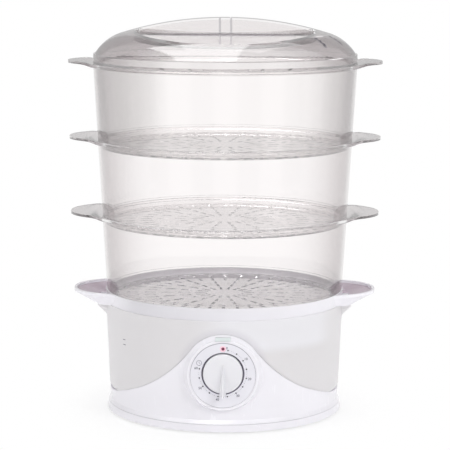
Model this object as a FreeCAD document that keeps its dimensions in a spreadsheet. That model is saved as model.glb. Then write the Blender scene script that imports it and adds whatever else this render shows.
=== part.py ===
"""Electric food steamer: a base with its water tank and timer, a drip tray, three bowls and a lid.

Millimetres. +Z is up, -Y is the front with the timer knob, +X is the steamer's right side as seen
from the front. The origin is on the table, on the steamer's upright axis.
"""
import FreeCAD, Part
import math
import os

import Sketcher

SIZES = {
    # feet, bottom cover and housing ring
    "foot_height": 2.0,
    "foot_r": 8.0,
    "foot_stem_r": 2.9,
    "foot_stem_grip": 1.4,
    "foot_circle_r": 99.0,
    "foot_count": 4,
    "cover_r": 116.9,
    "cover_top_r": 115.7,
    "cover_height": 6.7,
    "cover_floor": 2.4,
    "cover_wall": 2.4,
    "seam_gap": 0.3,
    "vent_width": 3.0,
    "vent_length": 22.0,
    "vent_circle_r": 40.0,
    "vent_count": 12,
    "base_height": 21.2,
    "band_r": 114.2,
    "band_shoulder": 4.0,
    "housing_wall": 2.4,
    "deck_thickness": 2.6,
    "post_r": 4.6,
    "post_circle_r": 66.0,
    "post_count": 4,
    "cover_screw_r": 1.5,
    "cover_screw_head_r": 3.0,
    "cover_screw_head": 1.5,
    "screw_pilot_gap": 0.05,
    "hole_gap": 0.3,
    # water tank
    "tank_bottom_r": 114.8,
    "tank_top_r": 118.2,
    "tank_height": 86.3,
    "tank_wall": 2.2,
    "tank_floor": 2.4,
    "tank_corner_r": 5.0,
    "spout_overhang": 8.8,
    "spout_r": 26.0,
    "spout_depth": 16.5,
    "spout_taper": 10.0,
    # bell-shaped control pod of the housing
    "dial_height": 59.6,
    "bell_top_r": 37.2,
    "bell_shoulder_angle": 54.1,
    "bell_flank_r": 148.0,
    "bell_foot_angle": 27.0,
    "pod_back_r": 76.0,
    "pod_gap": 0.2,
    "boss_r": 33.8,
    "boss_slope": 4.0,
    "boss_depth": 9.0,
    "boss_proud": 0.2,
    "dial_drop": 2.1,
    "dial_r": 31.2,
    "dial_thickness": 1.2,
    "dial_gap": 0.3,
    "knob_well_depth": 4.2,
    "knob_well_gap": 1.2,
    "timer_seat_r": 24.0,
    "timer_setback": 8.4,
    # timer and knob
    "timer_width": 42.0,
    "timer_depth": 22.0,
    "timer_case_r": 27.7,
    "timer_bore_depth": 8.0,
    "timer_screw_spacing": 28.0,
    "timer_screw_r": 1.5,
    "timer_screw_head_r": 2.8,
    "timer_screw_head": 1.2,
    "timer_screw_length": 9.0,
    "bell_cup_r": 14.0,
    "bell_cup_depth": 6.0,
    "bell_cup_wall": 1.0,
    "bell_cup_gap": 1.2,
    "bell_post_r": 2.0,
    "shaft_r": 3.0,
    "shaft_fit": 0.05,
    "shaft_pass_gap": 1.2,
    "shaft_flat": 1.0,
    "knob_r": 18.7,
    "knob_back_gap": 2.0,
    "knob_rise": 3.6,
    "knob_edge_r": 0.8,
    "grip_rise": 13.5,
    "grip_width": 6.4,
    "grip_top_inset": 9.5,
    "grip_top_width": 1.0,
    "grip_top_rise": 0.6,
    "grip_nose": 0.5,
    "grip_end_reach": 1.6,
    "shaft_end_gap": 1.4,
    # pilot lamp
    "lens_width": 14.4,
    "lens_height": 3.6,
    "lens_depth": 6.0,
    "lens_rise": 1.4,
    "lens_gap": 0.15,
    "lamp_r": 2.4,
    "lamp_length": 13.0,
    "lamp_holder_width": 9.0,
    "lamp_holder_depth": 7.0,
    "lamp_lift": 4.4,
    # heater
    "cup_r": 37.0,
    "cup_depth": 9.6,
    "cup_wall": 2.6,
    "plate_r": 47.0,
    "plate_thickness": 2.2,
    "gasket_thickness": 1.6,
    "gasket_inset": 0.8,
    "heater_gap": 1.0,
    "element_ring_r": 25.0,
    "element_r": 3.3,
    "element_sweep": 300.0,
    "element_pin_r": 1.2,
    "element_pin_length": 7.0,
    "clamp_r": 53.0,
    "clamp_thickness": 1.6,
    "heater_screw_circle_r": 42.5,
    "heater_screw_count": 3,
    "heater_screw_r": 1.6,
    "heater_screw_head_r": 3.2,
    "heater_screw_head": 1.8,
    "heater_screw_bite": 1.4,
    "thermostat_r": 8.0,
    "thermostat_height": 5.0,
    "thermostat_tab": 6.0,
    "tab_width": 2.0,
    "tab_thickness": 0.8,
    "fuse_length": 16.0,
    "fuse_width": 4.0,
    "fuse_height": 3.0,
    "fuse_offset": 15.0,
    "fuse_lead_r": 0.6,
    "fuse_lead_length": 5.0,
    # mains side
    "gland_bore_r": 3.4,
    "gland_r": 5.0,
    "gland_flange_r": 6.4,
    "gland_flange": 1.4,
    "gland_inner_r": 5.4,
    "gland_height": 10.0,
    "block_width": 32.0,
    "block_depth": 14.0,
    "block_height": 8.0,
    "block_place": 88.0,
    "block_hole_r": 2.0,
    "block_hole_depth": 5.0,
    "block_poles": 3,
    # steam ring in the tank
    "ring_wall": 2.0,
    "ring_play": 0.8,
    "ring_height": 52.0,
    "ring_notch_width": 10.0,
    "ring_notch_height": 5.0,
    "ring_notch_count": 4,
    # drip tray
    "tray_inset": 0.9,
    "tray_flare": 0.8,
    "tray_rim_height": 12.2,
    "tray_gap": 0.3,
    "tray_wall": 2.2,
    "tray_floor": 2.2,
    "tray_drop": 6.0,
    "tray_nest_gap": 0.6,
    "ridge_inner_r": 44.0,
    "ridge_outer_r": 68.0,
    "ridge_rise": 7.0,
    "ridge_lean": 3.0,
    "ridge_slot_length": 14.0,
    "ridge_slot_width": 3.4,
    "ridge_slot_count": 20,
    "tray_ear_reach": 31.9,
    "tray_ear_tip_r": 70.0,
    "tray_ear_depth": 44.5,
    "tray_ear_side_r": 45.5,
    "tray_ear_flare_r": 20.0,
    "tray_ear_foot_inset": 20.0,
    "tray_ear_foot_tip_r": 90.0,
    "tray_ear_foot_side_r": 40.0,
    "tray_ear_foot_flare_r": 12.0,
    "tray_ear_lip": 2.8,
    "tray_ear_wall": 2.8,
    "inlet_half_width": 16.0,
    # bowls
    "tier_pitch": 74.6,
    "bowl_overhang": 3.5,
    "bowl_growth": 4.2,
    "bowl_taper": 4.2,
    "bowl_wall": 2.2,
    "bowl_floor": 2.2,
    "bowl_foot": 8.0,
    "bowl_foot_gap": 0.6,
    "bowl_corner_r": 1.8,
    "bowl_flange": 3.0,
    "bowl_flange_reach": 1.7,
    "flange_edge_r": 0.9,
    "bowl_ear_reach": 30.3,
    "bowl_ear_growth": 0.95,
    "bowl_ear_tip_r": 80.0,
    "bowl_ear_depth": 51.0,
    "bowl_ear_side_r": 51.5,
    "bowl_ear_flare_r": 24.0,
    "bowl_ear_rise": 2.7,
    "bowl_ear_run": 15.0,
    "bowl_ear_plate": 2.4,
    "floor_slot_width": 3.0,
    "edge_slot_length": 8.5,
    "edge_slot_inset": 9.0,
    "edge_slot_count": 48,
    "floor_slot_length": 12.0,
    "floor_slot_pitch": 17.0,
    "outer_slot_gap": 14.5,
    "outer_slot_count": 36,
    "inner_slot_count": 18,
    # lid
    "lid_reach": 0.2,
    "lid_skirt_draft": 0.5,
    "lid_step": 1.4,
    "lid_skirt": 9.2,
    "lid_wall": 2.2,
    "lid_lip": 4.0,
    "lid_lip_gap": 0.6,
    "lid_shoulder_r": 46.0,
    "lid_break_inset": 26.2,
    "lid_break_height": 28.8,
    "lid_height": 44.7,
    "well_r": 86.0,
    "well_centre": 28.0,
    "well_wall_place": 12.0,
    "well_depth": 17.2,
    "well_slope": 3.4,
    "web_spacing": 11.0,
    "web_thickness": 1.6,
    "vent_hole_r": 1.5,
    "vent_hole_pitch": 4.6,
    "vent_hole_count": 3,
    "vent_row_r": 107.0,
    "vent_row_first": -36.0,
    "vent_row_step": 18.0,
    "vent_row_count": 2,
}

BOWLS = 3
LABELS = []

doc = FreeCAD.newDocument("food_steamer")


class Size:
    """A number of the sheet, or a sum of such numbers: its value now, and its formula."""

    def __init__(self, value, formula):
        self.value = float(value)
        self.formula = formula

    def __add__(self, other):
        other = size(other)
        return Size(self.value + other.value, f"({self.formula} + {other.formula})")

    def __sub__(self, other):
        other = size(other)
        return Size(self.value - other.value, f"({self.formula} - {other.formula})")

    def __mul__(self, other):
        other = size(other)
        return Size(self.value * other.value, f"({self.formula} * {other.formula})")

    def __truediv__(self, other):
        other = size(other)
        return Size(self.value / other.value, f"({self.formula} / {other.formula})")

    def __neg__(self):
        return Size(-self.value, f"(-1 * {self.formula})")

    __radd__ = __add__
    __rmul__ = __mul__

    def __rsub__(self, other):
        return size(other) - self


def size(number):
    """A plain number as a Size; a Size stays as it is."""
    return number if isinstance(number, Size) else Size(number, repr(float(number)))


def sine(angle):
    return Size(math.sin(math.radians(size(angle).value)), f"sin({size(angle).formula} * 1 deg)")


def cosine(angle):
    return Size(math.cos(math.radians(size(angle).value)), f"cos({size(angle).formula} * 1 deg)")


def root(number):
    return Size(math.sqrt(number.value), f"sqrt({number.formula})")


def write_sheet():
    """The sheet of driving dimensions, one row each: the name, the number."""
    sheet = doc.addObject("Spreadsheet::Sheet", "Sizes")
    for row, (name, number) in enumerate(SIZES.items(), start=1):
        sheet.set(f"A{row}", name)
        sheet.set(f"B{row}", str(number))
        sheet.setAlias(f"B{row}", name)
    doc.recompute()


class Names:
    """Every name of the sheet as a Size."""

    def __getattr__(self, name):
        return Size(SIZES[name], f"Sizes.{name}")


S = Names()


def bind(thing, path, length):
    """Ties one property of an object to its formula."""
    length = size(length)
    thing.setExpression(path, length.formula)


# ---------------------------------------------------------------- sketches

def fix_point(sketch, edge, end, x, y):
    """Holds one point of an edge at x, y of the sketch."""
    for kind, axis, place in (("DistanceX", -2, size(x)), ("DistanceY", -1, size(y))):
        if place.formula == "0.0":
            sketch.addConstraint(Sketcher.Constraint("PointOnObject", edge, end, axis))
        else:
            rule = sketch.addConstraint(Sketcher.Constraint(kind, -1, 1, edge, end, place.value))
            bind(sketch, f"Constraints[{rule}]", place)


def fix_radius(sketch, edge, radius):
    rule = sketch.addConstraint(Sketcher.Constraint("Radius", edge, radius.value))
    bind(sketch, f"Constraints[{rule}]", radius)


def arc_between(first, last, radius, left):
    """The lesser arc from first to last; its centre is to the left of that way, or to the right."""
    chord = last - first
    middle = (first + last) * 0.5
    side = FreeCAD.Vector(-chord.y, chord.x, 0).normalize()
    rise = math.sqrt(max(radius ** 2 - (chord.Length / 2) ** 2, 0.0))
    centre = middle + side * (rise if left else -rise)
    start, end = (first, last) if left else (last, first)
    turn = [math.atan2(point.y - centre.y, point.x - centre.x) for point in (start, end)]
    circle = Part.Circle(centre, FreeCAD.Vector(0, 0, 1), radius)
    return Part.ArcOfCircle(circle, turn[0], turn[1])


def outline(sketch, corners):
    """A closed outline. A corner is (x, y); (x, y, radius, "left" or "right") starts an arc."""
    first = sketch.GeometryCount
    count = len(corners)
    starts = []
    for index, corner in enumerate(corners):
        here, there = (FreeCAD.Vector(size(c[0]).value, size(c[1]).value, 0)
                       for c in (corner, corners[(index + 1) % count]))
        if len(corner) == 2:
            sketch.addGeometry(Part.LineSegment(here, there), False)
            starts.append((1, 2))
        else:
            left = corner[3] == "left"
            sketch.addGeometry(arc_between(here, there, size(corner[2]).value, left), False)
            starts.append((1, 2) if left else (2, 1))
    for index, corner in enumerate(corners):
        before = (index - 1) % count
        sketch.addConstraint(Sketcher.Constraint("Coincident", first + before, starts[before][1],
                                                 first + index, starts[index][0]))
        fix_point(sketch, first + index, starts[index][0], corner[0], corner[1])
        if len(corner) > 2:
            fix_radius(sketch, first + index, size(corner[2]))


def circle(sketch, x, y, radius):
    """A full circle about x, y."""
    centre = FreeCAD.Vector(size(x).value, size(y).value, 0)
    shape = Part.Circle(centre, FreeCAD.Vector(0, 0, 1), size(radius).value)
    edge = sketch.addGeometry(shape, False)
    fix_point(sketch, edge, 3, x, y)
    fix_radius(sketch, edge, size(radius))


def slot(sketch, x, y, length, width, upright):
    """A round-ended slot about x, y, as long as its ends reach, upright or level."""
    reach = size(length) / 2
    radius = size(width) / 2
    straight = reach - radius

    def corner(along, across):
        """A point so far along the slot and across it."""
        return (x - across, y + along) if upright else (x + along, y + across)

    outline(sketch, [
        corner(-straight, -radius),
        corner(straight, -radius) + (radius, "left"),
        corner(reach, size(0)) + (radius, "left"),
        corner(straight, radius),
        corner(-straight, radius) + (radius, "left"),
        corner(-reach, size(0)) + (radius, "left"),
    ])


# ---------------------------------------------------------------- PartDesign features

def new_body(label, base=None):
    """An empty body, or one whose first solid is another object's."""
    body = doc.addObject("PartDesign::Body", label)
    body.AllowCompound = True
    body.Label = label
    LABELS.append(label)
    if base is not None:
        body.BaseFeature = base
        doc.recompute()
    return body


def origin_feature(body, role):
    return next(f for f in body.Origin.OriginFeatures if f.Role == role)


def sketch_in(body, role, raised=None, along=None):
    """A sketch on one of the body's planes, raised off it and shifted along its first axis."""
    sketch = body.newObject("Sketcher::SketchObject", "Sketch")
    sketch.AttachmentSupport = (origin_feature(body, role), [""])
    sketch.MapMode = "FlatFace"
    if raised is not None:
        bind(sketch, "AttachmentOffset.Base.z", raised)
    if along is not None:
        bind(sketch, "AttachmentOffset.Base.x", along)
    return sketch


def extrude(body, kind, sketch, length, reverse=False, symmetric=False):
    """A Pad or a Pocket of one length."""
    feature = body.newObject(f"PartDesign::{kind}", kind)
    feature.Profile = sketch
    feature.SideType = "Symmetric" if symmetric else "One side"
    feature.Reversed = reverse
    bind(feature, "Length", length)
    doc.recompute()
    return feature


def turn(body, kind, sketch, angle=360.0):
    """A Revolution or a Groove about the sketch's upright axis."""
    feature = body.newObject(f"PartDesign::{kind}", kind)
    feature.Profile = sketch
    feature.ReferenceAxis = (sketch, ["V_Axis"])
    bind(feature, "Angle", angle)
    doc.recompute()
    return feature


def polar(body, features, count, axis="Z_Axis"):
    """Copies of features round one of the body's axes."""
    pattern = body.newObject("PartDesign::PolarPattern", "PolarPattern")
    pattern.Originals = features
    pattern.Axis = (origin_feature(body, axis), [""])
    pattern.Angle = 360
    bind(pattern, "Occurrences", count)
    body.Tip = pattern
    doc.recompute()
    return pattern


def soften(body, kind, radius, wanted):
    """A Fillet or Chamfer on the edges of the body's tip that wanted picks."""
    base = body.Tip
    edges = [f"Edge{i}" for i, edge in enumerate(base.Shape.Edges, start=1) if wanted(edge)]
    feature = body.newObject(f"PartDesign::{kind}", kind)
    feature.Base = (base, edges)
    bind(feature, "Radius" if kind == "Fillet" else "Size", radius)
    body.Tip = feature
    doc.recompute()
    return feature


def turned_body(label, corners):
    """A body that is one outline of radii and heights, turned about Z."""
    body = new_body(label)
    sketch = sketch_in(body, "XZ_Plane")
    outline(sketch, corners)
    turn(body, "Revolution", sketch)
    return body


# ---------------------------------------------------------------- Part objects

FRONT_PLANE = FreeCAD.Rotation(FreeCAD.Vector(1, 0, 0), 90)
SIDE_PLANE = FreeCAD.Rotation(FreeCAD.Vector(1, 1, 1), 120)


def free_sketch(name, corners, upright):
    """A sketch on the ground plane, or on the upright plane through X and Z."""
    sketch = doc.addObject("Sketcher::SketchObject", name)
    if upright:
        sketch.Placement = FreeCAD.Placement(FreeCAD.Vector(), FRONT_PLANE)
    outline(sketch, corners)
    return sketch


def turned(name, corners):
    """An outline of radii and heights, turned about Z."""
    piece = doc.addObject("Part::Revolution", name)
    piece.Source = free_sketch(f"{name}_outline", corners, True)
    piece.Axis = FreeCAD.Vector(0, 0, 1)
    piece.Angle = 360
    piece.Solid = True
    return piece


def prism(name, corners, length, upright):
    """An outline drawn out: forwards to -Y if it is upright, otherwise up."""
    piece = doc.addObject("Part::Extrusion", name)
    piece.Base = free_sketch(f"{name}_outline", corners, upright)
    piece.DirMode = "Normal"
    piece.Solid = True
    bind(piece, "LengthFwd", length)
    return piece


def place(piece, x=0, y=0, z=0):
    """Puts a Part object at x, y, z."""
    for axis, length in zip("xyz", (x, y, z)):
        bind(piece, f"Placement.Base.{axis}", length)


def drum(name, radius, height, z=0, x=0, y=0, top_radius=None):
    """An upright cylinder, or a cone where it has another radius at its top."""
    if top_radius is None:
        piece = doc.addObject("Part::Cylinder", name)
        bind(piece, "Radius", radius)
    else:
        piece = doc.addObject("Part::Cone", name)
        bind(piece, "Radius1", radius)
        bind(piece, "Radius2", top_radius)
    bind(piece, "Height", height)
    place(piece, x, y, z)
    return piece


def rod(name, radius, front, back, x=0, z=0, back_radius=None):
    """A level cylinder or cone along Y, from front to back, both measured forwards of the axis."""
    if back_radius is None:
        piece = doc.addObject("Part::Cylinder", name)
        bind(piece, "Radius", radius)
    else:
        piece = doc.addObject("Part::Cone", name)
        bind(piece, "Radius1", back_radius)
        bind(piece, "Radius2", radius)
    piece.Placement = FreeCAD.Placement(FreeCAD.Vector(), FRONT_PLANE)
    bind(piece, "Height", front - back)
    place(piece, x, -size(back), z)
    return piece


def block(name, width, depth, height, x=0, y=0, z=0):
    """A box whose middle is at x, y and whose bottom is at z."""
    piece = doc.addObject("Part::Box", name)
    bind(piece, "Length", width)
    bind(piece, "Width", depth)
    bind(piece, "Height", height)
    place(piece, x - size(width) / 2, y - size(depth) / 2, z)
    return piece


def fuse(name, pieces):
    whole = doc.addObject("Part::MultiFuse", name)
    whole.Shapes = pieces
    return whole


def common(name, pieces):
    shared = doc.addObject("Part::MultiCommon", name)
    shared.Shapes = pieces
    return shared


def cut(name, base, tool):
    rest = doc.addObject("Part::Cut", name)
    rest.Base = base
    rest.Tool = tool
    return rest


def group(name, pieces):
    """Separate solids kept in one object."""
    whole = doc.addObject("Part::Compound", name)
    whole.Links = pieces
    return whole


def finish(piece, label):
    """Makes a Part object the sub-part of that name."""
    piece.Label = label
    LABELS.append(label)
    doc.recompute()
    return piece


def around(count, first=0.0):
    """The angles of evenly spaced places, as Sizes; the number of places is in the sheet."""
    step = size(360.0) / size(count)
    return [size(first) + step * number for number in range(int(size(count).value))]


# ---------------------------------------------------------------- places that pieces share

cover_top = S.foot_height + S.cover_height
cover_floor_top = S.foot_height + S.cover_floor
housing_bottom = cover_top + S.seam_gap
deck_top = S.foot_height + S.base_height
deck_bottom = deck_top - S.deck_thickness
tank_top = deck_top + S.tank_height
tank_floor_top = deck_top + S.tank_floor
plate_rest = tank_floor_top + S.gasket_thickness
cup_bottom = plate_rest - S.cup_depth
tray_seat = tank_top
tray_top = tray_seat + S.tray_rim_height
tray_bottom_r = S.tank_top_r - S.tray_inset
tray_top_r = tray_bottom_r + S.tray_flare
tray_nest_r = S.tank_top_r - S.tank_wall - S.tray_nest_gap
tray_ear_tip = tray_top_r + S.tray_ear_reach
bowl_mouth_r = tray_top_r + S.bowl_overhang
spout_reach = S.tank_top_r + S.spout_overhang
boss_front = S.tank_top_r + S.boss_proud
timer_front = boss_front - S.timer_setback
dial_centre = S.dial_height - S.dial_drop
well_floor_y = boss_front - S.knob_well_depth
knob_back = well_floor_y + S.knob_back_gap
knob_front = boss_front + S.knob_rise
lens_bottom = dial_centre + S.dial_r + S.dial_gap + S.lens_rise
lamp_height = S.dial_height + S.timer_width / 2 + S.lamp_lift


# ---------------------------------------------------------------- base, below the deck

FOOT_TURN = 45.0


def ring_places(radius, count, first=0.0):
    """x, y pairs evenly spaced on a circle about the steamer's axis."""
    return [(radius * cosine(angle), radius * sine(angle)) for angle in around(count, first)]


def ring_holes(body, places, radius, bottom, depth):
    """Round holes cut upwards from the height bottom."""
    sketch = sketch_in(body, "XY_Plane", bottom)
    for x, y in places:
        circle(sketch, x, y, radius)
    return extrude(body, "Pocket", sketch, depth, reverse=True)


def gland_hole(body, from_r, to_r):
    """The round notch for the mains inlet, at the back, cut from one radius in to another."""
    sketch = sketch_in(body, "XZ_Plane", -from_r)
    circle(sketch, 0, S.gland_height, S.gland_r + S.shaft_fit)
    return extrude(body, "Pocket", sketch, from_r - to_r, reverse=True)


def bottom_cover():
    """A pan that closes the housing from below, with vents, screw holes and foot sockets."""
    wall_r = S.cover_top_r - S.cover_wall
    body = turned_body("bottom_cover", [
        (0, S.foot_height),
        (S.cover_r, S.foot_height),
        (S.cover_top_r, cover_top),
        (wall_r, cover_top),
        (wall_r, cover_floor_top),
        (0, cover_floor_top),
    ])
    vents = sketch_in(body, "XY_Plane")
    slot(vents, S.vent_circle_r, size(0), S.vent_length, S.vent_width, False)
    vent = extrude(body, "Pocket", vents, cover_floor_top + S.seam_gap, reverse=True)
    polar(body, [vent], S.vent_count)
    posts = ring_places(S.post_circle_r, S.post_count)
    feet = ring_places(S.foot_circle_r, S.foot_count, FOOT_TURN)
    ring_holes(body, posts, S.cover_screw_r + S.hole_gap, size(0), cover_floor_top + S.seam_gap)
    ring_holes(body, posts, S.cover_screw_head_r + S.hole_gap, size(0),
               S.foot_height + S.cover_screw_head + S.screw_pilot_gap)
    ring_holes(body, feet, S.foot_stem_r + S.shaft_fit, size(0), cover_floor_top + S.seam_gap)
    gland_hole(body, S.cover_r + S.seam_gap, wall_r - S.seam_gap)
    return body


def rubber_feet():
    """Four round feet, each held by a stem with a wider barb above the cover."""
    body = new_body("rubber_feet")
    sketch = sketch_in(body, "XZ_Plane", along=S.foot_circle_r)
    barb_r = S.foot_stem_r + S.foot_stem_grip / 2
    outline(sketch, [
        (0, 0),
        (S.foot_r - S.foot_stem_grip / 2, 0),
        (S.foot_r, S.foot_stem_grip / 2),
        (S.foot_r, S.foot_height),
        (S.foot_stem_r, S.foot_height),
        (S.foot_stem_r, cover_floor_top),
        (barb_r, cover_floor_top),
        (S.foot_stem_r, cover_floor_top + S.foot_stem_grip),
        (0, cover_floor_top + S.foot_stem_grip),
    ])
    foot = turn(body, "Revolution", sketch)
    polar(body, [foot], S.foot_count)
    body.Placement.Rotation = FreeCAD.Rotation(FreeCAD.Vector(0, 0, 1), FOOT_TURN)
    return body


def screw_ring(label, circle_r, count, corners):
    """Screws standing on a circle, each turned from the same outline about its own axis."""
    body = new_body(label)
    sketch = sketch_in(body, "XZ_Plane", along=circle_r)
    outline(sketch, corners)
    screw = turn(body, "Revolution", sketch)
    polar(body, [screw], count)
    return body


def cover_screws():
    """The self-tapping screws that hold the cover to the housing's posts."""
    head_bottom = S.foot_height + S.screw_pilot_gap
    head_top = S.foot_height + S.cover_screw_head + S.screw_pilot_gap
    return screw_ring("cover_screws", S.post_circle_r, S.post_count, [
        (0, head_bottom),
        (S.cover_screw_head_r, head_bottom),
        (S.cover_screw_head_r, head_top),
        (S.cover_screw_r, head_top),
        (S.cover_screw_r, deck_bottom - S.cover_screw_head),
        (0, deck_bottom),
    ])


# ---------------------------------------------------------------- housing and tank

def bell_corners(grow, bottom):
    """The front outline of the control pod, grown all round, with its flanks run down to bottom."""
    top_r = S.bell_top_r + grow
    flank_r = S.bell_flank_r - grow
    reach = S.bell_top_r + S.bell_flank_r
    shoulder, foot = S.bell_shoulder_angle, S.bell_foot_angle
    top_x = top_r * sine(shoulder)
    top_z = S.dial_height + top_r * cosine(shoulder)
    foot_x = reach * sine(shoulder) - flank_r * sine(foot)
    foot_z = S.dial_height + reach * cosine(shoulder) - flank_r * cosine(foot)
    end_x = foot_x + (foot_z - bottom) * cosine(foot) / sine(foot)
    return [
        (-end_x, bottom),
        (end_x, bottom),
        (foot_x, foot_z, flank_r, "right"),
        (top_x, top_z, top_r, "left"),
        (-top_x, top_z, flank_r, "right"),
        (-foot_x, foot_z),
    ]


def pod_space(name, grow, bottom):
    """The room of the control pod, grown all round: the bell drawn forwards, clear of the middle."""
    bell = prism(f"{name}_bell", bell_corners(grow, bottom), spout_reach, True)
    place(bell, 0, grow, 0)
    middle = drum(f"{name}_middle", S.pod_back_r - grow, S.tank_height + deck_top)
    return cut(name, bell, middle)


def base_housing():
    """The white housing: a low ring with a deck, and the bell-shaped control pod at the front."""
    heater_hole_r = S.cup_r + S.heater_gap
    inner_r = S.band_r - S.housing_wall
    ring = turned("housing_ring", [
        (S.cover_top_r, housing_bottom),
        (S.band_r, housing_bottom + S.band_shoulder),
        (S.band_r, deck_top),
        (heater_hole_r, deck_top),
        (heater_hole_r, deck_bottom),
        (inner_r, deck_bottom),
        (inner_r, housing_bottom),
    ])
    skin = drum("pod_skin", S.band_r, S.tank_height, deck_top, top_radius=S.tank_top_r)
    boss = rod("dial_boss", S.boss_r, boss_front, boss_front - S.boss_depth, z=dial_centre,
               back_radius=S.boss_r + S.boss_slope)
    pod = common("pod_blank", [pod_space("pod_outside", size(0), deck_top),
                               fuse("pod_front", [skin, boss])])
    inside = drum("pod_inner_skin", inner_r, S.tank_height + S.deck_thickness, deck_bottom,
                  top_radius=S.tank_top_r - S.housing_wall)
    void = common("pod_void", [pod_space("pod_inside", -S.housing_wall, deck_bottom - S.deck_thickness),
                               inside])
    shell = cut("pod_shell", fuse("housing_blank", [ring, pod]), void)
    seat = rod("timer_seat", S.timer_seat_r, boss_front - S.dial_thickness, timer_front,
               z=S.dial_height)
    posts = [drum(f"post_{i}", S.post_r, deck_top - cover_floor_top, cover_floor_top, x, y)
             for i, (x, y) in enumerate(ring_places(S.post_circle_r, S.post_count), start=1)]
    pilot_r = S.cover_screw_r + S.screw_pilot_gap
    holes = [drum(f"post_hole_{i}", pilot_r, deck_bottom - cover_floor_top, cover_floor_top, x, y)
             for i, (x, y) in enumerate(ring_places(S.post_circle_r, S.post_count), start=1)]
    heater_r = S.heater_screw_r + S.hole_gap
    heater_places = ring_places(S.heater_screw_circle_r, S.heater_screw_count)
    holes += [drum(f"heater_hole_{i}", heater_r, S.deck_thickness * 2, deck_bottom - S.seam_gap, x, y)
              for i, (x, y) in enumerate(heater_places, start=1)]
    front = boss_front + S.knob_rise
    dial_recess = rod("dial_recess", S.dial_r + S.dial_gap, front, boss_front - S.dial_thickness,
                      z=dial_centre)
    knob_well = rod("knob_well", S.knob_r + S.knob_well_gap, front, well_floor_y, z=S.dial_height)
    shaft_hole = rod("shaft_hole", S.shaft_r + S.shaft_pass_gap, front, timer_front - S.seam_gap,
                     z=S.dial_height)
    for side in (-1, 1):
        holes.append(rod(f"timer_hole_{side + 2}", S.timer_screw_r + S.hole_gap, front,
                         timer_front - S.seam_gap, x=S.timer_screw_spacing / 2 * side,
                         z=S.dial_height))
    lens_slot = block("lens_slot", S.lens_width + 2 * S.lens_gap, S.tank_top_r - timer_front + 1,
                      S.lens_height + 2 * S.lens_gap, 0, -(S.tank_top_r + timer_front) / 2 - S.seam_gap,
                      lens_bottom - S.lens_gap)
    gland = rod("gland_hole", S.gland_r + S.shaft_fit, -(inner_r - S.seam_gap),
                -(S.cover_top_r + S.seam_gap), z=S.gland_height)
    holes += [dial_recess, knob_well, shaft_hole, lens_slot, gland]
    whole = fuse("housing_whole", [shell, seat] + posts)
    return finish(cut("base_housing", whole, fuse("housing_holes", holes)), "base_housing")


def spout_forms(name, side, shrink):
    """One refill spout of the tank, as a solid whose wall is moved in by shrink."""
    centre = (spout_reach - S.spout_r) * side
    bottom = tank_top - S.spout_depth + shrink
    radius = S.spout_r - shrink
    low = drum(f"{name}_low", radius - S.spout_taper, S.spout_taper, bottom, centre,
               top_radius=radius)
    high = drum(f"{name}_high", radius, tank_top + S.seam_gap * shrink / S.tank_wall - bottom
                - S.spout_taper, bottom + S.spout_taper, centre)
    return [low, high]


def water_tank():
    """The frosted tank: round, with a refill spout each side and a bay that clears the pod."""
    corner = S.tank_corner_r
    blank = turned("tank_blank", [
        (0, deck_top),
        (S.tank_bottom_r - corner, deck_top, corner, "left"),
        (S.tank_bottom_r, deck_top + corner),
        (S.tank_top_r, tank_top),
        (0, tank_top),
    ])
    room = turned("tank_room", [
        (0, tank_floor_top),
        (S.tank_bottom_r - S.tank_wall - corner / 2, tank_floor_top),
        (S.tank_bottom_r - S.tank_wall, tank_floor_top + corner / 2),
        (S.tank_top_r - S.tank_wall, tank_top + S.seam_gap),
        (0, tank_top + S.seam_gap),
    ])
    outside, inside = [blank], [room]
    for side, name in ((-1, "left"), (1, "right")):
        outside += spout_forms(f"{name}_spout", side, size(0))
        inside += spout_forms(f"{name}_spout_room", side, S.tank_wall)
    bay = pod_space("tank_bay", S.pod_gap, deck_top - S.pod_gap)
    bay_wall = pod_space("tank_bay_wall", S.pod_gap + S.tank_wall, deck_top - S.pod_gap)
    shell = cut("tank_shell", fuse("tank_outside", outside), bay)
    hollow = cut("tank_hollow", fuse("tank_inside", inside), bay_wall)
    holes = [drum("tank_heater_hole", S.cup_r + S.heater_gap, S.tank_floor * 2,
                  deck_top - S.seam_gap)]
    places = ring_places(S.heater_screw_circle_r, S.heater_screw_count)
    holes += [drum(f"tank_hole_{i}", S.heater_screw_r + S.hole_gap, S.tank_floor * 2,
                   deck_top - S.seam_gap, x, y) for i, (x, y) in enumerate(places, start=1)]
    walls = cut("tank_walls", shell, hollow)
    return finish(cut("water_tank", walls, fuse("tank_holes", holes)), "water_tank")


# ---------------------------------------------------------------- heater

def heating_plate():
    """The aluminium dish that boils the water, with a flange that bears on the gasket."""
    inner_r = S.cup_r - S.cup_wall
    top = plate_rest + S.plate_thickness
    body = turned_body("heating_plate", [
        (0, cup_bottom),
        (S.cup_r, cup_bottom),
        (S.cup_r, plate_rest),
        (S.plate_r, plate_rest),
        (S.plate_r, top),
        (inner_r + S.cup_wall / 2, top),
        (inner_r - S.cup_wall, cup_bottom + S.cup_wall),
        (0, cup_bottom + S.cup_wall),
    ])
    places = ring_places(S.heater_screw_circle_r, S.heater_screw_count)
    ring_holes(body, places, S.heater_screw_r + S.screw_pilot_gap, plate_rest,
               S.heater_screw_bite + S.screw_pilot_gap)
    return body


def flat_ring(label, inner_r, outer_r, bottom, top, hole_r):
    """A flat ring with holes for the heater's screws."""
    body = turned_body(label, [(inner_r, bottom), (outer_r, bottom), (outer_r, top), (inner_r, top)])
    places = ring_places(S.heater_screw_circle_r, S.heater_screw_count)
    ring_holes(body, places, hole_r, bottom - S.seam_gap, top - bottom + S.seam_gap * 2)
    return body


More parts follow.
